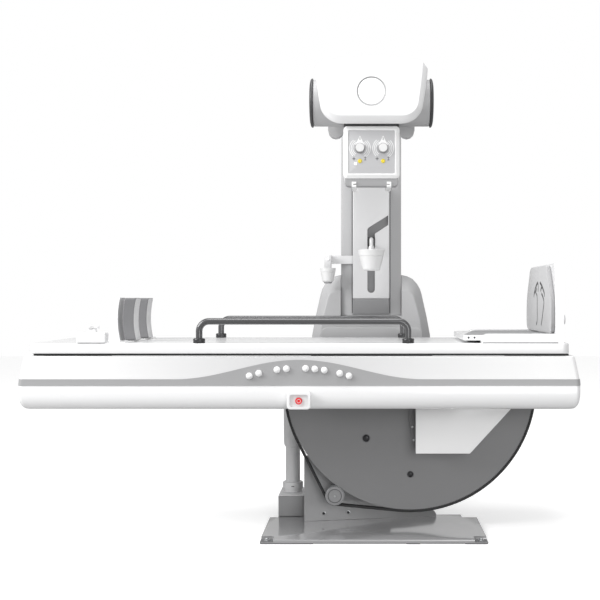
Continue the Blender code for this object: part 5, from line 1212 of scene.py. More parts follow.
def bevelled(obj, edge, segments=3, limit=None):
    """Ease the edges of a piece: those sharper than the limit, in degrees, or else all."""
    work = bmesh.new()
    work.from_mesh(obj.data)
    bmesh.ops.recalc_face_normals(work, faces=work.faces)
    sharp = list(work.edges)
    if limit is not None:
        sharp = [e for e in sharp if e.calc_face_angle(0.0) > math.radians(limit)]
    bmesh.ops.bevel(
        work, geom=sharp, offset=edge, segments=segments, profile=0.5, affect="EDGES", clamp_overlap=True
    )
    work.to_mesh(obj.data)
    work.free()
    return obj


def loft(name, sections):
    """A closed solid through outlines of equal length, given as (y, [(x, z), ...])."""
    return swept(name, [[(x, y, z) for x, z in outline] for y, outline in sections])


tower_low, tower_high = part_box("tower_housing")
tower_x = middle_of("tower_housing")[0]
tower_front = 0.485
column_low, column_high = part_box("column")
panel_low, panel_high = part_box("column_panel")
# Half widths and heights of the housing's shoulders: round its body, and on its drawn-in front
shoulder = [
    (0.285, 0.807),
    (0.269, 0.894),
    (0.244, 1.006),
    (0.236, 1.032),
    (0.222, 1.056),
    (0.200, 1.080),
    (0.176, 1.092),
    (0.150, 1.0985),
]
inner = [
    (0.247, 0.800),
    (0.234, 0.885),
    (0.211, 0.975),
    (0.206, 0.992),
    (0.198, 1.006),
    (0.184, 1.015),
    (0.168, 1.020),
    (0.150, 1.022),
]


def housing_at(rows):
    """Closed outline of the housing from its rows, whose first one goes straight down to its foot."""
    right = [(tower_x + rows[0][0], tower_low[2])] + [(tower_x + x, z) for x, z in rows]
    return right + [(2 * tower_x - x, z) for x, z in reversed(right)]


front_depth = 0.052
housing_sections = [
    (tower_front, housing_at(inner)),
    (tower_front + front_depth, housing_at(shoulder)),
    (tower_high[1], housing_at(shoulder)),
]
housing = bevelled(loft("column_foot_housing", housing_sections), 0.006, limit=25)
seat, over = 0.0015, 1.3
seat_x = (column_low[0] - seat, column_high[0] + seat)
seat_y = (column_low[1] - seat, column_high[1] + seat)
skirt_y = (tower_front - 0.02, column_low[1] + 0.01)
cut(housing, block("column_seat", seat_x, seat_y, (column_low[2] - 0.001, over), 0.0))
cut(housing, block("skirt_seat", seat_x, skirt_y, (panel_low[2] - 0.004, over), 0.0))
show(housing, tower_grey, "pale_plastic", "tower", "tower_housing")
step_x, step_z, step_round = (tower_x - 0.240, tower_x + 0.245), (0.625, 0.846), 0.028
step = [(step_x[0], step_z[0]), (step_x[1], step_z[0])]
step += arc((step_x[1] - step_round, step_z[1] - step_round), step_round, 0, 90, 8)
step += arc((step_x[0] + step_round, step_z[1] - step_round), step_round, 90, 180, 8)
foot_step = pressed("column_foot_step", step, tower_front - 0.008, 0.012, 0.003, 3, "XZ", 50)
show(foot_step, tower_grey, "pale_plastic", "tower")
rail_low, rail_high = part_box("column_rail")
carriage = block(
    "column_carriage",
    (tower_x - 0.245, tower_x + 0.245),
    (rail_high[1] + 0.0008, tower_front + 0.002),
    (rail_low[2], rail_high[2] - 0.001),
    0.003,
)
show(carriage, frame_paint, "cast_frame", "tower")

# The outer column: a pressed steel post whose front flanks slope away, and a slotted moulded panel.
# A slanted skirt closes the panel's foot.
flank = 0.010
post_section = [
    (column_low[0], column_high[1]),
    (column_low[0], column_low[1] + flank),
    (panel_low[0] - 0.001, column_low[1]),
    (panel_high[0] + 0.001, column_low[1]),
    (column_high[0], column_low[1] + flank),
    (column_high[0], column_high[1]),
]
post_tall = column_high[2] - column_low[2]
post = pressed("column_post", post_section, column_low[2], post_tall, 0.0012, 2, "XY", 8)
post_wall = 0.010
bore = block(
    "column_bore",
    (column_low[0] + post_wall, column_high[0] - post_wall),
    (column_low[1] + post_wall, column_high[1] - post_wall),
    (column_low[2] + post_wall, column_high[2] + 0.1),
    0.0,
)
cut(post, bore)
show(post, column_grey, "pale_paint", "tower", "column")
panel_left, panel_right = panel_low[0] + 0.0065, panel_high[0] - 0.0065
panel_bottom, notch_z, panel_top = 0.984, 1.498, panel_high[2]
notch = 0.0175
panel_outline = [
    (panel_left + 0.003, panel_bottom),
    (panel_right - 0.003, panel_bottom),
    (panel_right, panel_bottom + 0.004),
    (panel_right, notch_z),
    (panel_right - notch, notch_z),
    (panel_right - notch, panel_top),
    (panel_left + notch, panel_top),
    (panel_left + notch, notch_z),
    (panel_left, notch_z),
    (panel_left, panel_bottom + 0.004),
]
panel_front = panel_low[1]
panel_thick = column_low[1] - 0.0005 - panel_front
panel = pressed("slotted_panel", panel_outline, panel_front, panel_thick, 0.004, 3, "XZ", 50)
slot_half = 0.018
slot_bend = 1.305
exit_x = panel_right - 0.006
slot_low = 1.012
slot_outline = arc((tower_x, slot_low + slot_half), slot_half, 180, 360, 16)
slot_outline += [(tower_x + slot_half, slot_bend - 0.012)]
slot_outline += [(exit_x, slot_bend + 0.030), (exit_x, slot_bend + 0.076)]
slot_outline += [(tower_x - slot_half + 0.004, slot_bend + 0.016), (tower_x - slot_half, slot_bend + 0.008)]
cut(panel, pressed("slot_cutter", slot_outline, panel_front - 0.01, 0.0395, 0.0, 1, "XZ"))
show(panel, column_white, "white_gloss", "tower", "column_panel")
# A slim dark strip down each side of the panel is painted shade in the seam between the panel and the post.
seam_shade_paint = coated("seam_shade_strip", (0.10, 0.10, 0.105), 0.6)
seam_shade_y, seam_shade_z = (column_low[1] - 0.0042, column_low[1] - 0.0004), (0.915, panel_top)
for side, sign, edge in (("head", -1, panel_left), ("foot", 1, panel_right)):
    seam_shade_x = sorted((edge + sign * 0.0004, edge + sign * 0.0046))
    seam_shade_strip = block("panel_seam_shade_" + side, seam_shade_x, seam_shade_y, seam_shade_z, 0.0006, 2)
    show(seam_shade_strip, seam_shade_paint, "dark_plastic", "tower")
lining = pressed("slot_floor", slot_outline, panel_front + 0.0290, 0.0010, 0.0, 1, "XZ")
show(lining, slot_dark, "dark_plastic", "tower")
skirt_points = []
skirt_back, skirt_top = column_low[1] - 0.0008, panel_bottom - 0.0008
for y, z, spread in (
    (panel_front + 0.0012, skirt_top, -0.004),
    (column_low[1] - 0.006, 0.912, 0.0005),
    (skirt_back, 0.907, 0.001),
    (skirt_back, skirt_top, 0.001),
):
    skirt_points += [(panel_left - spread, y, z), (panel_right + spread, y, z)]
skirt_faces = [(0, 1, 3, 2), (2, 3, 5, 4), (4, 5, 7, 6), (6, 7, 1, 0), (0, 2, 4, 6), (1, 7, 5, 3)]
skirt = bevelled(solid("panel_skirt", skirt_points, skirt_faces), 0.0022)
show(skirt, shadow_grey, "grey_trim", "tower")

# Detector tray under the tabletop, a folded steel box in dark paint. A bracket from the carriage
# holds it, so it travels with the column.
tray_paint = coated("tray_paint", (0.10, 0.10, 0.105), 0.5, mottle=0.4)
paint_node("detector_tray", tray_paint, 0.0015)

# Compression device: a bent light rod in the panel's slot carries a white moulded cone. A bracket on
# the column's flank keeps a smaller cone.
rod_pale = coated("rod_paint", (0.62, 0.62, 0.625), 0.3, metallic=0.2, mottle=0.3)
cone_white = coated("cone_white", (0.70, 0.70, 0.70), 0.34, mottle=0.15, coat=0.2)
cone_low, cone_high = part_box("compression_cone")
rod_level = 1.2415
shoe_z = (1.235, 1.277)
rod_radius = 0.0085
# The slider in the slot is black, and its black also stands for the shadow in the slot beside the rod: partly
# painted shadow.
shoe = block(
    "arm_shoe",
    (tower_x - slot_half + 0.0006, tower_x + slot_half - 0.0006),
    (panel_front - 0.004, panel_front + 0.0285),
    shoe_z,
    0.002,
)
show(shoe, rubber_black, "dark_metal", "compressor", "compression_arm")
reach = [
    (tower_x, panel_front, rod_level),
    (tower_x, 0.0, rod_level),
    (tower_x, 0.0, cone_high[2] - 0.036),
]
show(tube("compression_rod", reach, rod_radius, 0.014, 32, 12), rod_pale, "steel", "compressor")


def cup(name, top_r, low_r, low_z, tall, at, wall=0.0022):
    """A moulded cone, open upwards, with a lip, a groove below it and a rounded foot."""
    scale = tall / 0.09
    soft = 0.012 * scale
    profile = [(0.0, 0.0)]
    for angle in (0.0, 0.4, 0.8, 1.2, 1.5):
        profile.append((low_r - soft + soft * math.sin(angle), soft * (1 - math.cos(angle))))
    slope = (top_r - low_r) / tall
    groove = tall * 0.70
    groove_r = low_r + slope * groove
    profile += [
        (groove_r - slope * 0.002, groove - 0.0020),
        (groove_r - 0.0016, groove - 0.0008),
        (groove_r - 0.0012, groove + 0.0008),
        (groove_r + 0.0010, groove + 0.0024),
        (top_r + 0.0002, tall - 0.0012),
        (top_r - 0.0004, tall - 0.0002),
        (top_r - 0.0012, tall),
        (top_r - wall, tall - 0.0008),
        (low_r - wall, 0.014 * scale),
        (low_r - wall - 0.006 * scale, wall * 1.6),
        (0.0, wall * 1.4),
    ]
    return turned(name, profile, "Z", (at[0], at[1], low_z), 64)


cone_mid = middle_of("compression_cone")
cone_top_r, cone_tall = (cone_high[0] - cone_low[0]) / 2, cone_high[2] - cone_low[2]
cone = cup("compression_cup", cone_top_r, 0.0395, cone_low[2], cone_tall, cone_mid)
show(cone, cone_white, "white_gloss", "compressor", "compression_cone")
rod_foot = [(0.0, 0.0), (0.0135, 0.0), (0.0135, 0.094), (0.0120, 0.0985), (0.0100, 0.104), (0.0, 0.104)]
foot_at = (cone_mid[0], cone_mid[1], cone_low[2] + 0.0035)
show(turned("cone_stem", rod_foot, "Z", foot_at, 40), rod_pale, "steel", "compressor")
bracket_low, bracket_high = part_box("side_bracket")
spare_low, spare_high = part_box("side_cone")
sheet = 0.008
plate_right = bracket_low[0] + 0.035
outer_bend, inner_bend = 0.0065, 0.0020
sheet_front, sheet_back = bracket_low[1] + sheet, bracket_high[1] - sheet
bent = [(bracket_low[0], bracket_low[1])]
bent += arc((plate_right - outer_bend, bracket_low[1] + outer_bend), outer_bend, -90, 0, 8)
bent += reversed(arc((plate_right + inner_bend, sheet_back - inner_bend), inner_bend, 90, 180, 5))
bent += [(bracket_high[0], sheet_back), (bracket_high[0], bracket_high[1])]
bent += arc((plate_right - sheet + outer_bend, bracket_high[1] - outer_bend), outer_bend, 90, 180, 8)
bent += reversed(arc((plate_right - sheet - inner_bend, sheet_front + inner_bend), inner_bend, -90, 0, 5))
bent += [(bracket_low[0], sheet_front)]
bracket_tall = bracket_high[2] - bracket_low[2]
bracket = pressed("bracket_sheet", bent, bracket_low[2], bracket_tall, 0.0006, 2, "XY", 60)
below_arm = block(
    "below_arm",
    (plate_right - sheet - inner_bend, bracket_high[0] + 0.01),
    (sheet_front, bracket_high[1] + 0.01),
    (bracket_low[2] - 0.01, bracket_high[2] - 0.039),
    0.0,
)
cut(bracket, below_arm)
show(bracket, pale_shell, "pale_paint", "tower", "side_bracket")
button_head = [(0.0, 0.0048), (0.004, 0.0044), (0.0072, 0.0030), (0.0086, 0.0010), (0.0088, 0.0), (0.0, 0.0)]
head_at = (bracket_low[0] + 0.0185, bracket_low[1] - 0.0001, bracket_high[2] - 0.0196)
show(turned("bracket_screw", button_head, "Y", head_at, 40), cap_white, "steel", "tower")
spare_mid = middle_of("side_cone")
post_foot = 0.006
spare_top_r, spare_tall = (spare_high[0] - spare_low[0]) / 2, spare_high[2] - spare_low[2] - post_foot
spare = cup("spare_cup", spare_top_r, 0.0270, spare_low[2] + post_foot, spare_tall, spare_mid, 0.0018)
show(spare, cone_white, "white_gloss", "tower", "side_cone")
spare_post = [
    (0.0, 0.0),
    (0.0165, 0.0),
    (0.0185, 0.0022),
    (0.0185, 0.0058),
    (0.0045, 0.0092),
    (0.0045, spare_tall + 0.0055),
    (0.0, spare_tall + 0.0055),
]
post = turned("spare_post", spare_post, "Z", (*spare_mid[:2], spare_low[2]), 40)
show(post, slot_dark, "dark_plastic", "tower")

# Inner mast with the arm and yoke of the tube head, a steel weldment painted like the column. It
# slides up out of the column.
mast_metal = coated("mast_paint", (0.48, 0.48, 0.485), 0.36, mottle=0.25)
paint_node("tube_mast", mast_metal, 0.003, 3)

# X-ray tube housing: a turned drum between two dark end rings, which fills the open back of the
# front cover. A steel journal behind it turns in the arm, and a dark flange below takes the collimator.
drum_grey = coated("drum_paint", (0.45, 0.45, 0.455), 0.38, mottle=0.25)
ring_dark = coated("ring_dark", (0.045, 0.045, 0.047), 0.4, mottle=0.3)
drum_low, drum_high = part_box("tube_housing")
tube_z = 1.830
tube_long = drum_high[0] - drum_low[0]
ring_long = 0.0155
drum = [
    (0.0, 0.016),
    (0.094, 0.016),
    (0.0985, 0.018),
    (0.1000, 0.022),
    (0.1000, tube_long - 0.022),
    (0.0985, tube_long - 0.018),
    (0.094, tube_long - 0.016),
    (0.0, tube_long - 0.016),
]
drum_body = turned("tube_drum", drum, "X", (drum_low[0], 0.0, tube_z), 96)
show(drum_body, drum_grey, "pale_paint", "tube_head", "tube_housing")
head_ring_form = [
    (0.0, 0.0),
    (0.060, 0.0006),
    (0.086, 0.0022),
    (0.0970, 0.0046),
    (0.1025, 0.0074),
    (0.1046, 0.0104),
    (0.1050, 0.0132),
    (0.1044, 0.0150),
    (0.1030, ring_long),
    (0.0, ring_long),
]
foot_ring_form = [(radius, ring_long - height) for radius, height in reversed(head_ring_form)]
for side, form, start in (("head", head_ring_form, 0.0), ("foot", foot_ring_form, tube_long - ring_long)):
    end_ring = turned("drum_ring_" + side, form, "X", (drum_low[0] + start, 0.0, tube_z), 96)
    show(end_ring, ring_dark, "dark_plastic", "tube_head")
journal_front, journal_radius = 0.05, 0.045
journal_long = drum_high[1] - journal_front
neck = [(0.0, 0.0), (journal_radius, 0.0), (journal_radius, journal_long), (0.0, journal_long)]
journal = turned("tube_journal", neck, "-Y", (tower_x, journal_front, tube_z), 48)
show(journal, zinc, "steel", "tube_head")
port = turned(
    "tube_port",
    [(0.0, 0.0), (0.055, 0.0), (0.055, 0.04), (0.0, 0.04)],
    "Z",
    (tower_x, 0.0, drum_low[2]),
    48,
)
show(port, ring_dark, "dark_metal", "tube_head")
flange = pressed(
    "turning_flange",
    rounded_box((tower_x - 0.118, tower_x + 0.118), (-0.100, 0.100), 0.020, 6),
    drum_low[2] + 0.0002,
    0.0140,
    0.0015,
    2,
    "XY",
    50,
)
show(flange, ring_dark, "dark_metal", "tube_head")

# Front cover of the tube head: one white moulding, open behind, with a wide rounded rim around a
# flat face. A bare round disc sits in a shallow ring on the face.
cover_low, cover_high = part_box("tube_cover")
cover_mid = middle_of("tube_cover")[0]
cover_half = (cover_high[0] - cover_low[0]) / 2
cover_foot = 1.7185


def cover_ring(share, inset=0.0, lift=0.0):
    """Outline of the cover: full body at share 0, flat front face at share 1, foot raised by lift."""
    half = cover_half - 0.0205 * share - inset
    low = cover_foot + 0.0300 * share + inset + lift
    top = cover_high[2] - 0.0035 * share - inset
    shoulder_z = top - 0.0215
    slope = 0.019
    knee_x, knee_z = 0.094 - 0.022 * share, 0.086 - 0.026 * share
    cut_x, cut_z = 0.0015 + 0.0205 * (1 - share), 0.0015 + 0.0265 * (1 - share)
    rows = [(0.0, low), (0.060, low)]
    for i in range(13):
        angle = math.radians(-90 + 84 * i / 12)
        rows.append((
            half - slope - knee_x + knee_x * math.cos(angle),
            low + knee_z + knee_z * math.sin(angle),
        ))
    side = shoulder_z - cut_z
    start_x, start_z = rows[-1]
    for i in range(1, 5):
        across = start_x + (half - start_x) * (1 - (1 - i / 4) ** 1.4)
        rows.append((across, start_z + (side - start_z) * i / 4))
    rows += [(half - cut_x * 0.5, shoulder_z - cut_z * 0.5 + 0.0006), (half - cut_x, shoulder_z)]
    for i in range(1, 7):
        across = (half - cut_x) * (1 - i / 6)
        rows.append((across, top - (top - shoulder_z) * (across / (half - cut_x)) ** 1.8))
    right = [(cover_mid + x, z) for x, z in rows]
    return right + [(2 * cover_mid - x, z) for x, z in reversed(right[1:-1])]


cover_face, cover_back = cover_low[1], cover_high[1]
rim = 0.024
soft = 0.0022
foot_rise = 0.031
shell_sections = [
    (cover_face, cover_ring(1.0, 0.0015)),
    (cover_face + 0.0003, cover_ring(1.0, 0.0003)),
    (cover_face + 0.0016, cover_ring(0.94)),
    (cover_face + rim * 0.45, cover_ring(0.42)),
    (cover_face + rim - soft, cover_ring(0.05)),
    (cover_face + rim + soft, cover_ring(0.0)),
    (cover_back - 0.001, cover_ring(0.0, 0.0, foot_rise)),
    (cover_back, cover_ring(0.0, 0.001, foot_rise)),
    (cover_back, cover_ring(0.0, 0.0042, foot_rise)),
    (cover_face + rim + 0.004, cover_ring(0.0, 0.0050)),
    (cover_face + 0.006, cover_ring(1.0, 0.0040)),
]
cover = loft("front_cover", shell_sections)
stay_bar = block(
    "cover_stay",
    (cover_mid - 0.03, cover_mid + 0.03),
    (cover_face + 0.007, -0.1004),
    (tube_z - 0.02, tube_z + 0.02),
    0.001,
)
show(stay_bar, ring_dark, "dark_metal", "tube_head")
disc_at = (cover_mid, cover_face, 1.8505)
dish = [(0.0, -0.0038), (0.0575, -0.0038), (0.0622, 0.0), (0.0622, 0.003), (0.0, 0.003)]
cut(cover, turned("disc_recess", dish, "Y", disc_at, 128))
show(cover, white_gloss, "white_gloss", "tube_head", "tube_cover")
# The ring's grey is painted shade on the recess wall round the disc.
disc_ring_shade = coated("disc_ring", (0.40, 0.40, 0.405), 0.4)
ring = [
    (0.0, -0.0037),
    (0.0573, -0.0037),
    (0.0620, -0.0001),
    (0.0614, 0.0001),
    (0.0566, -0.0034),
    (0.0, -0.0034),
]
show(turned("cover_disc_ring", ring, "Y", disc_at, 128), disc_ring_shade, "grey_trim", "tube_head")
disc = [
    (0.0, -0.0033),
    (0.0558, -0.0033),
    (0.0560, -0.0022),
    (0.0545, -0.0014),
    (0.052, -0.0011),
    (0.0, -0.0010),
]
show(turned("cover_disc", disc, "Y", disc_at, 128), cover_white, "white_gloss", "tube_head")

# Collimator: a white moulded box with an inset grey control panel, which turns under the tube.
# Below it a narrower nose carries two accessory rails; the dials are printed on the panel.
box_white = coated("collimator_white", (0.93, 0.93, 0.93), 0.3, mottle=0.18, coat=0.4)
# The field knobs' grey side walls are painted shade; their front cap discs are white.
knob_wall_shade = coated("knob_wall_shade", (0.30, 0.30, 0.305), 0.4)
panel_grey = coated("panel_grey", (0.52, 0.52, 0.53), 0.45, mottle=0.2, grain=900.0)
nose_grey = coated("nose_grey", (0.33, 0.33, 0.335), 0.45, mottle=0.3)
dial_white = coated("dial_white", (0.90, 0.90, 0.90), 0.4)
mark_grey = coated("mark_grey", (0.13, 0.13, 0.135), 0.5)
signal_yellow = coated("signal_yellow", (0.78, 0.62, 0.03), 0.3, coat=0.4)
head_low, head_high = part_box("collimator_housing")
head_mid = middle_of("collimator_housing")[0]
head_half = (head_high[0] - head_low[0]) / 2
head_foot = head_low[2] + 0.030
frame_slope = 0.0150


def head_ring(inset, radius):
    """Outline of the collimator's body, drawn in by an inset."""
    across = (head_low[0] + inset, head_high[0] - inset)
    return rounded_box(across, (head_foot + inset, head_high[2] - inset), radius, 8)


head_face = head_low[1]
head_sections = [
    (head_face, head_ring(frame_slope, 0.0050)),
    (head_face + 0.0092, head_ring(0.0016, 0.0145)),
    (head_face + 0.0104, head_ring(0.0004, 0.0156)),
    (head_face + 0.0125, head_ring(0.0, 0.0160)),
    (head_high[1] - 0.005, head_ring(0.0, 0.0160)),
    (head_high[1], head_ring(0.005, 0.0120)),
]
head = loft("collimator_body", head_sections)
frame_wide = 0.019
inset_x = (head_mid - head_half + frame_wide, head_mid + head_half - frame_wide)
inset_z = (head_foot + frame_wide, head_high[2] - 0.0177)
pocket_outline = rounded_box(inset_x, inset_z, 0.006, 6)
cut(head, pressed("panel_pocket", pocket_outline, head_face - 0.01, 0.0135, 0.0, 1, "XZ"))
show(head, box_white, "white_gloss", "collimator", "collimator_housing")
gap = 0.0016
face_x = (inset_x[0] + gap, inset_x[1] - gap)
face_z = (inset_z[0] + gap, inset_z[1] - gap)
plate_y = head_face + 0.0022
plate = pressed("control_plate", rounded_box(face_x, face_z, 0.005, 6), plate_y, 0.0012, 0.0004, 2, "XZ")
show(plate, panel_grey, "grey_trim", "collimator")
nose_half, nose_foot = 0.113, head_low[2] - 0.0030
nose_x = (head_mid - nose_half, head_mid + nose_half)
nose_outline = rounded_box(nose_x, (nose_foot, head_foot + 0.012), 0.016, 8)
nose_body = pressed("collimator_nose", nose_outline, head_face + 0.012, 0.060, 0.0030, 3, "XZ", 50)
show(nose_body, nose_grey, "dark_plastic", "collimator")
rail_level, rail_half = head_low[2] + 0.0052, 0.0095
rail_section = [
    (rail_half, 0.0105),
    (rail_half, -0.0105),
    (-rail_half, -0.0105),
    (-rail_half, -0.0030),
    (0.0035, -0.0030),
    (0.0035, 0.0020),
    (-rail_half, 0.0020),
    (-rail_half, 0.0105),
]
for side, sign in (("head", -1), ("foot", 1)):
    rail_x = head_mid + sign * 0.0742
    section = [(rail_x + sign * across, rail_level + up) for across, up in rail_section]
    rail = pressed("accessory_rail_" + side, section, head_face + 0.006, 0.200, 0.0007, 2, "XZ", 40)
    show(rail, dial_white, "white_paint", "collimator")
panel_face = plate_y - 0.0002


def printed(name, outline, material, proud=0.0004, thick=0.0005, slot="button_white"):
    """A flat mark on the control panel, proud of its face."""
    mark = pressed(name, outline, panel_face - proud, thick)
    show(mark, material, slot, "collimator")


def dial(side, x, z):
    """The marks round a field knob: a pointer with its notch, and three arcs on both flanks."""
    pointer = [(0.0220, 0.0140), (0.0140, 0.0260), (0.0070, 0.0380), (0.0010, 0.0520)]
    pointer = [(-across, up) for across, up in pointer] + [(across, up) for across, up in reversed(pointer)]
    notch = [(-0.0016, 0.035), (0.0016, 0.035), (0.0010, 0.047), (-0.0010, 0.047)]
    shift = [(x + across, z + up) for across, up in pointer]
    printed("dial_mark_" + side, shift, dial_white, 0.0006, 0.0007)
    shift = [(x + across, z + up) for across, up in notch]
    printed("dial_notch_" + side, shift, mark_grey, 0.0009, 0.0004, "dark_plastic")
    half_line = 0.0013
    for flank, base in (("a", 0), ("b", 180)):
        for number, radius, spread in ((1, 0.0300, 60), (2, 0.0370, 60), (3, 0.0440, 52)):
            ends = (base - spread, base + spread - 4)
            outline = arc((x, z), radius + half_line, *ends, 20)
            outline += reversed(arc((x, z), radius - half_line, *ends, 20))
            printed("dial_arc_%s_%s%d" % (side, flank, number), outline, dial_white)


def field_icons(side, x, z):
    """The two icons below a field knob: a cross, and a tall bar with wide ends."""
    arm, half = 0.0065, 0.0015
    quarter = [(half, -arm), (half, -half), (arm, -half)]
    turns = ((1, 0), (0, 1), (-1, 0), (0, -1))
    wide = [(a * c - b * s, a * s + b * c) for c, s in turns for a, b in quarter]
    tall = [(0.0045, -arm), (0.0045, -0.0042), (0.0011, -0.0042)]
    tall += [(a, -b) for a, b in reversed(tall)]
    tall += [(-a, b) for a, b in reversed(tall)]
    for name, outline, icon_x in (("wide", wide, x - 0.0255), ("tall", tall, x + 0.0225)):
        placed = [(icon_x + a, z - 0.0445 + b) for a, b in outline]
        printed("field_icon_%s_%s" % (side, name), placed, mark_grey, slot="dark_plastic")


for side in ("left", "right"):
    node = "field_knob_" + side
    low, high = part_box(node)
    knob_x, _, knob_z = middle_of(node)
    at = (knob_x, high[1], knob_z)
    radius, tall = (high[0] - low[0]) / 2, high[1] - low[1]
    grip = [
        (0.0, 0.0),
        (radius, 0.0),
        (radius, 0.0030),
        (radius * 0.95, 0.0048),
        (radius * 0.93, tall - 0.0040),
        (radius * 0.90, tall - 0.0022),
        (radius * 0.84, tall - 0.0016),
        (0.0, tall - 0.0016),
    ]
    show(turned(node + "_grip", grip, "Y", at, 64), knob_wall_shade, "grey_trim", "knob_" + side, node)
    cap_disc = [
        (0.0, tall - 0.0014),
        (radius * 0.80, tall - 0.0014),
        (radius * 0.80, tall - 0.0006),
        (radius * 0.77, tall),
        (0.0, tall + 0.0002),
    ]
    show(turned(node + "_cap", cap_disc, "Y", at, 64), cone_white, "button_white", "knob_" + side)
    dial(side, knob_x, knob_z)
    field_icons(side, knob_x, knob_z)
    node = "light_button_" + side
    low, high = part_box(node)
    radius = (high[0] - low[0]) / 2
    at = (middle_of(node)[0], low[1] + 0.0065, middle_of(node)[2])
    dome = [
        (0.0, 0.0),
        (radius, 0.0),
        (radius, 0.0038),
        (radius * 0.93, 0.0052),
        (radius * 0.75, 0.0061),
        (radius * 0.4, 0.0066),
        (0.0, 0.0068),
    ]
    light = turned("light_dome_" + side, dome, "Y", at, 48)
    show(light, signal_yellow, "yellow_button", "light_" + side, node)
square_x, square_z = head_mid - 0.0675, head_foot + 0.0615
square = pressed(
    "panel_square",
    rounded_box((square_x - 0.0066, square_x + 0.0066), (square_z - 0.0070, square_z + 0.0070), 0.0015, 4),
    panel_face - 0.0010,
    0.0011,
    0.0003,
    2,
    "XZ",
)
show(square, dial_white, "button_white", "collimator")

# Rows of small screws that hold the rear panels: zinc-plated button heads with a hexagon socket.
# Each row is one head set along a line by a node group, with every socket turned differently.


def screw_row_group():
    """Node group that sets a head along a line, each turned at random about its own axis."""
    tree = bpy.data.node_groups.new("screw_row", "GeometryNodeTree")
    sockets = tree.interface
    sockets.new_socket("Rows", in_out="OUTPUT", socket_type="NodeSocketGeometry")
    for name, kind in (
        ("Head", "Geometry"),
        ("Count", "Int"),
        ("Start", "Vector"),
        ("Step", "Vector"),
        ("Seed", "Int"),
        ("Material", "Material"),
    ):
        sockets.new_socket(name, in_out="INPUT", socket_type="NodeSocket" + kind)
    nodes, links = tree.nodes, tree.links
    inside, out = nodes.new("NodeGroupInput"), nodes.new("NodeGroupOutput")
    row = nodes.new("GeometryNodeMeshLine")
    row.mode = "OFFSET"
    links.new(inside.outputs["Count"], row.inputs["Count"])
    links.new(inside.outputs["Start"], row.inputs["Start Location"])
    links.new(inside.outputs["Step"], row.inputs["Offset"])
    turn = nodes.new("FunctionNodeRandomValue")
    turn.data_type = "FLOAT_VECTOR"
    turn.inputs["Min"].default_value = (0.0, 0.0, 0.0)
    turn.inputs["Max"].default_value = (0.0, math.tau, 0.0)
    links.new(inside.outputs["Seed"], turn.inputs["Seed"])
    placed = nodes.new("GeometryNodeInstanceOnPoints")
    links.new(row.outputs["Mesh"], placed.inputs["Points"])
    links.new(inside.outputs["Head"], placed.inputs["Instance"])
    links.new(turn.outputs["Value"], placed.inputs["Rotation"])
    real = nodes.new("GeometryNodeRealizeInstances")
    links.new(placed.outputs["Instances"], real.inputs["Geometry"])
    paint = nodes.new("GeometryNodeSetMaterial")
    links.new(real.outputs["Geometry"], paint.inputs["Geometry"])
    links.new(inside.outputs["Material"], paint.inputs["Material"])
    links.new(paint.outputs["Geometry"], out.inputs["Rows"])
    return tree


screw_row = screw_row_group()


def screws(name, body, count, start, step, seed):
    """A row of screw heads on a rear panel of the named body."""
    profile = [(0.0, 0.0), (0.0062, 0.0), (0.0060, 0.0011), (0.0050, 0.0024), (0.0036, 0.0032), (0.0, 0.0034)]
    head = turned(name, profile, "-Y", (0.0, 0.0, 0.0), 36)
    socket_radius, socket_floor = 0.0025, 0.0016
    hexagon = arc((0.0, 0.0), socket_radius, 0, 300, 5)
    cut(head, pressed(name + "_socket", hexagon, socket_floor, 0.0040))
    row = head.modifiers.new("row", "NODES")
    row.node_group = screw_row
    values = {"Count": count, "Start": start, "Step": step, "Seed": seed, "Material": zinc}
    for socket in screw_row.interface.items_tree:
        if socket.in_out == "INPUT" and socket.name in values:
            row[socket.identifier] = values[socket.name]
    bake(head)
    show(head, zinc, "steel", body)


fascia_level = 0.580
fascia_row = (-0.87, body_at(fascia_level)[0] - 0.0006, fascia_level)
screws("rear_fascia_screws", "table_body", 7, fascia_row, (0.29, 0.0, 0.0), 3)
housing_back, column_back = tower_high[1] - 0.0001, column_high[1] - 0.0001
for side, x in (("head", tower_x - 0.255), ("foot", tower_x + 0.255)):
    screws("housing_screws_" + side, "tower", 3, (x, housing_back, 0.68), (0.0, 0.0, 0.09), 5)
for side, x in (("head", column_low[0] + 0.02), ("foot", column_high[0] - 0.02)):
    screws("column_screws_" + side, "tower", 5, (x, column_back, 1.16), (0.0, 0.0, 0.15), 7)

# Studio: a pale floor, a white surround, and soft panels of light from the upper left and the front.
# The camera sees the floor and the surround lighter than they light the pieces.


def seen_and_felt(nodes, links, seen, felt, output):
    """What the camera sees directly, and what lights the rest of the scene."""
    path = nodes.new("ShaderNodeLightPath")
    blend = nodes.new("ShaderNodeMixShader")
    links.new(path.outputs["Is Camera Ray"], blend.inputs[0])
    links.new(felt.outputs[0], blend.inputs[1])
    links.new(seen.outputs[0], blend.inputs[2])
    links.new(blend.outputs[0], output.inputs["Surface"])


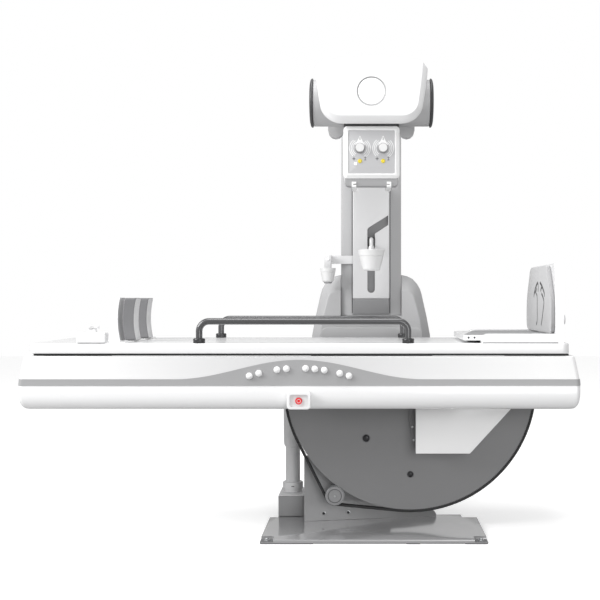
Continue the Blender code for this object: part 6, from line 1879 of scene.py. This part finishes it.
floor_material = bpy.data.materials.new("studio_floor")
floor_material.use_nodes = True
floor_tree = floor_material.node_tree
floor_shader = floor_tree.nodes["Principled BSDF"]
floor_shader.inputs["Base Color"].default_value = (0.93, 0.93, 0.93, 1.0)
floor_shader.inputs["Roughness"].default_value = 0.7
floor_shader.inputs["Emission Color"].default_value = (1.0, 1.0, 1.0, 1.0)
floor_shader.inputs["Emission Strength"].default_value = 0.42
matt = floor_tree.nodes.new("ShaderNodeBsdfDiffuse")
matt.inputs["Color"].default_value = (0.40, 0.40, 0.40, 1.0)
seen_and_felt(floor_tree.nodes, floor_tree.links, floor_shader, matt, floor_tree.nodes["Material Output"])
half_floor = 14.0
signs = ((-1, -1), (1, -1), (1, 1), (-1, 1))
corners = [(x * half_floor, y * half_floor, -0.0005) for x, y in signs]
floor = solid("studio_floor", corners, [(0, 1, 2, 3)])
floor.data.materials.append(floor_material)
bpy.context.collection.objects.link(floor)

world = bpy.data.worlds.new("studio_world")
bpy.context.scene.world = world
world.use_nodes = True
background = world.node_tree.nodes["Background"]
background.inputs["Color"].default_value = (1.0, 1.0, 1.0, 1.0)
background.inputs["Strength"].default_value = 0.56
seen = world.node_tree.nodes.new("ShaderNodeBackground")
seen.inputs["Color"].default_value = (1.0, 1.0, 1.0, 1.0)
seen.inputs["Strength"].default_value = 1.0
output = world.node_tree.nodes["World Output"]
seen_and_felt(world.node_tree.nodes, world.node_tree.links, seen, background, output)


def panel_light(name, place, aim, size, power):
    """A square soft light at a place, turned to its aim."""
    data = bpy.data.lights.new(name, "AREA")
    data.shape = "SQUARE"
    data.size = size
    data.energy = power
    light = bpy.data.objects.new(name, data)
    bpy.context.collection.objects.link(light)
    light.location = place
    light.rotation_euler = (Vector(aim) - Vector(place)).to_track_quat("-Z", "Y").to_euler()


panel_light("key_left", (-4.2, -2.2, 3.4), (0.2, 0.1, 0.9), 2.6, 245)
panel_light("top_soft", (0.0, -0.8, 4.6), (0.2, 0.0, 0.8), 3.0, 120)
panel_light("front_soft", (1.9, -5.2, 1.5), (0.5, 0.0, 0.8), 2.5, 75)

# Camera square to the front of the table, far enough away for the photo's mild perspective. Its
# shift brings the table to its place in the picture, with the lens level.
camera_data = bpy.data.cameras.new("front_camera")
camera_data.sensor_width = 36.0
camera_data.lens = 64.5
camera_data.shift_x = -0.1133
camera_data.clip_end = 100.0
camera = bpy.data.objects.new("front_camera", camera_data)
bpy.context.collection.objects.link(camera)
camera.location = (0.276, -4.655, 0.978)
camera.rotation_euler = (math.pi / 2, 0.0, 0.0)
bpy.context.scene.camera = camera
bpy.context.scene.view_settings.view_transform = "Standard"
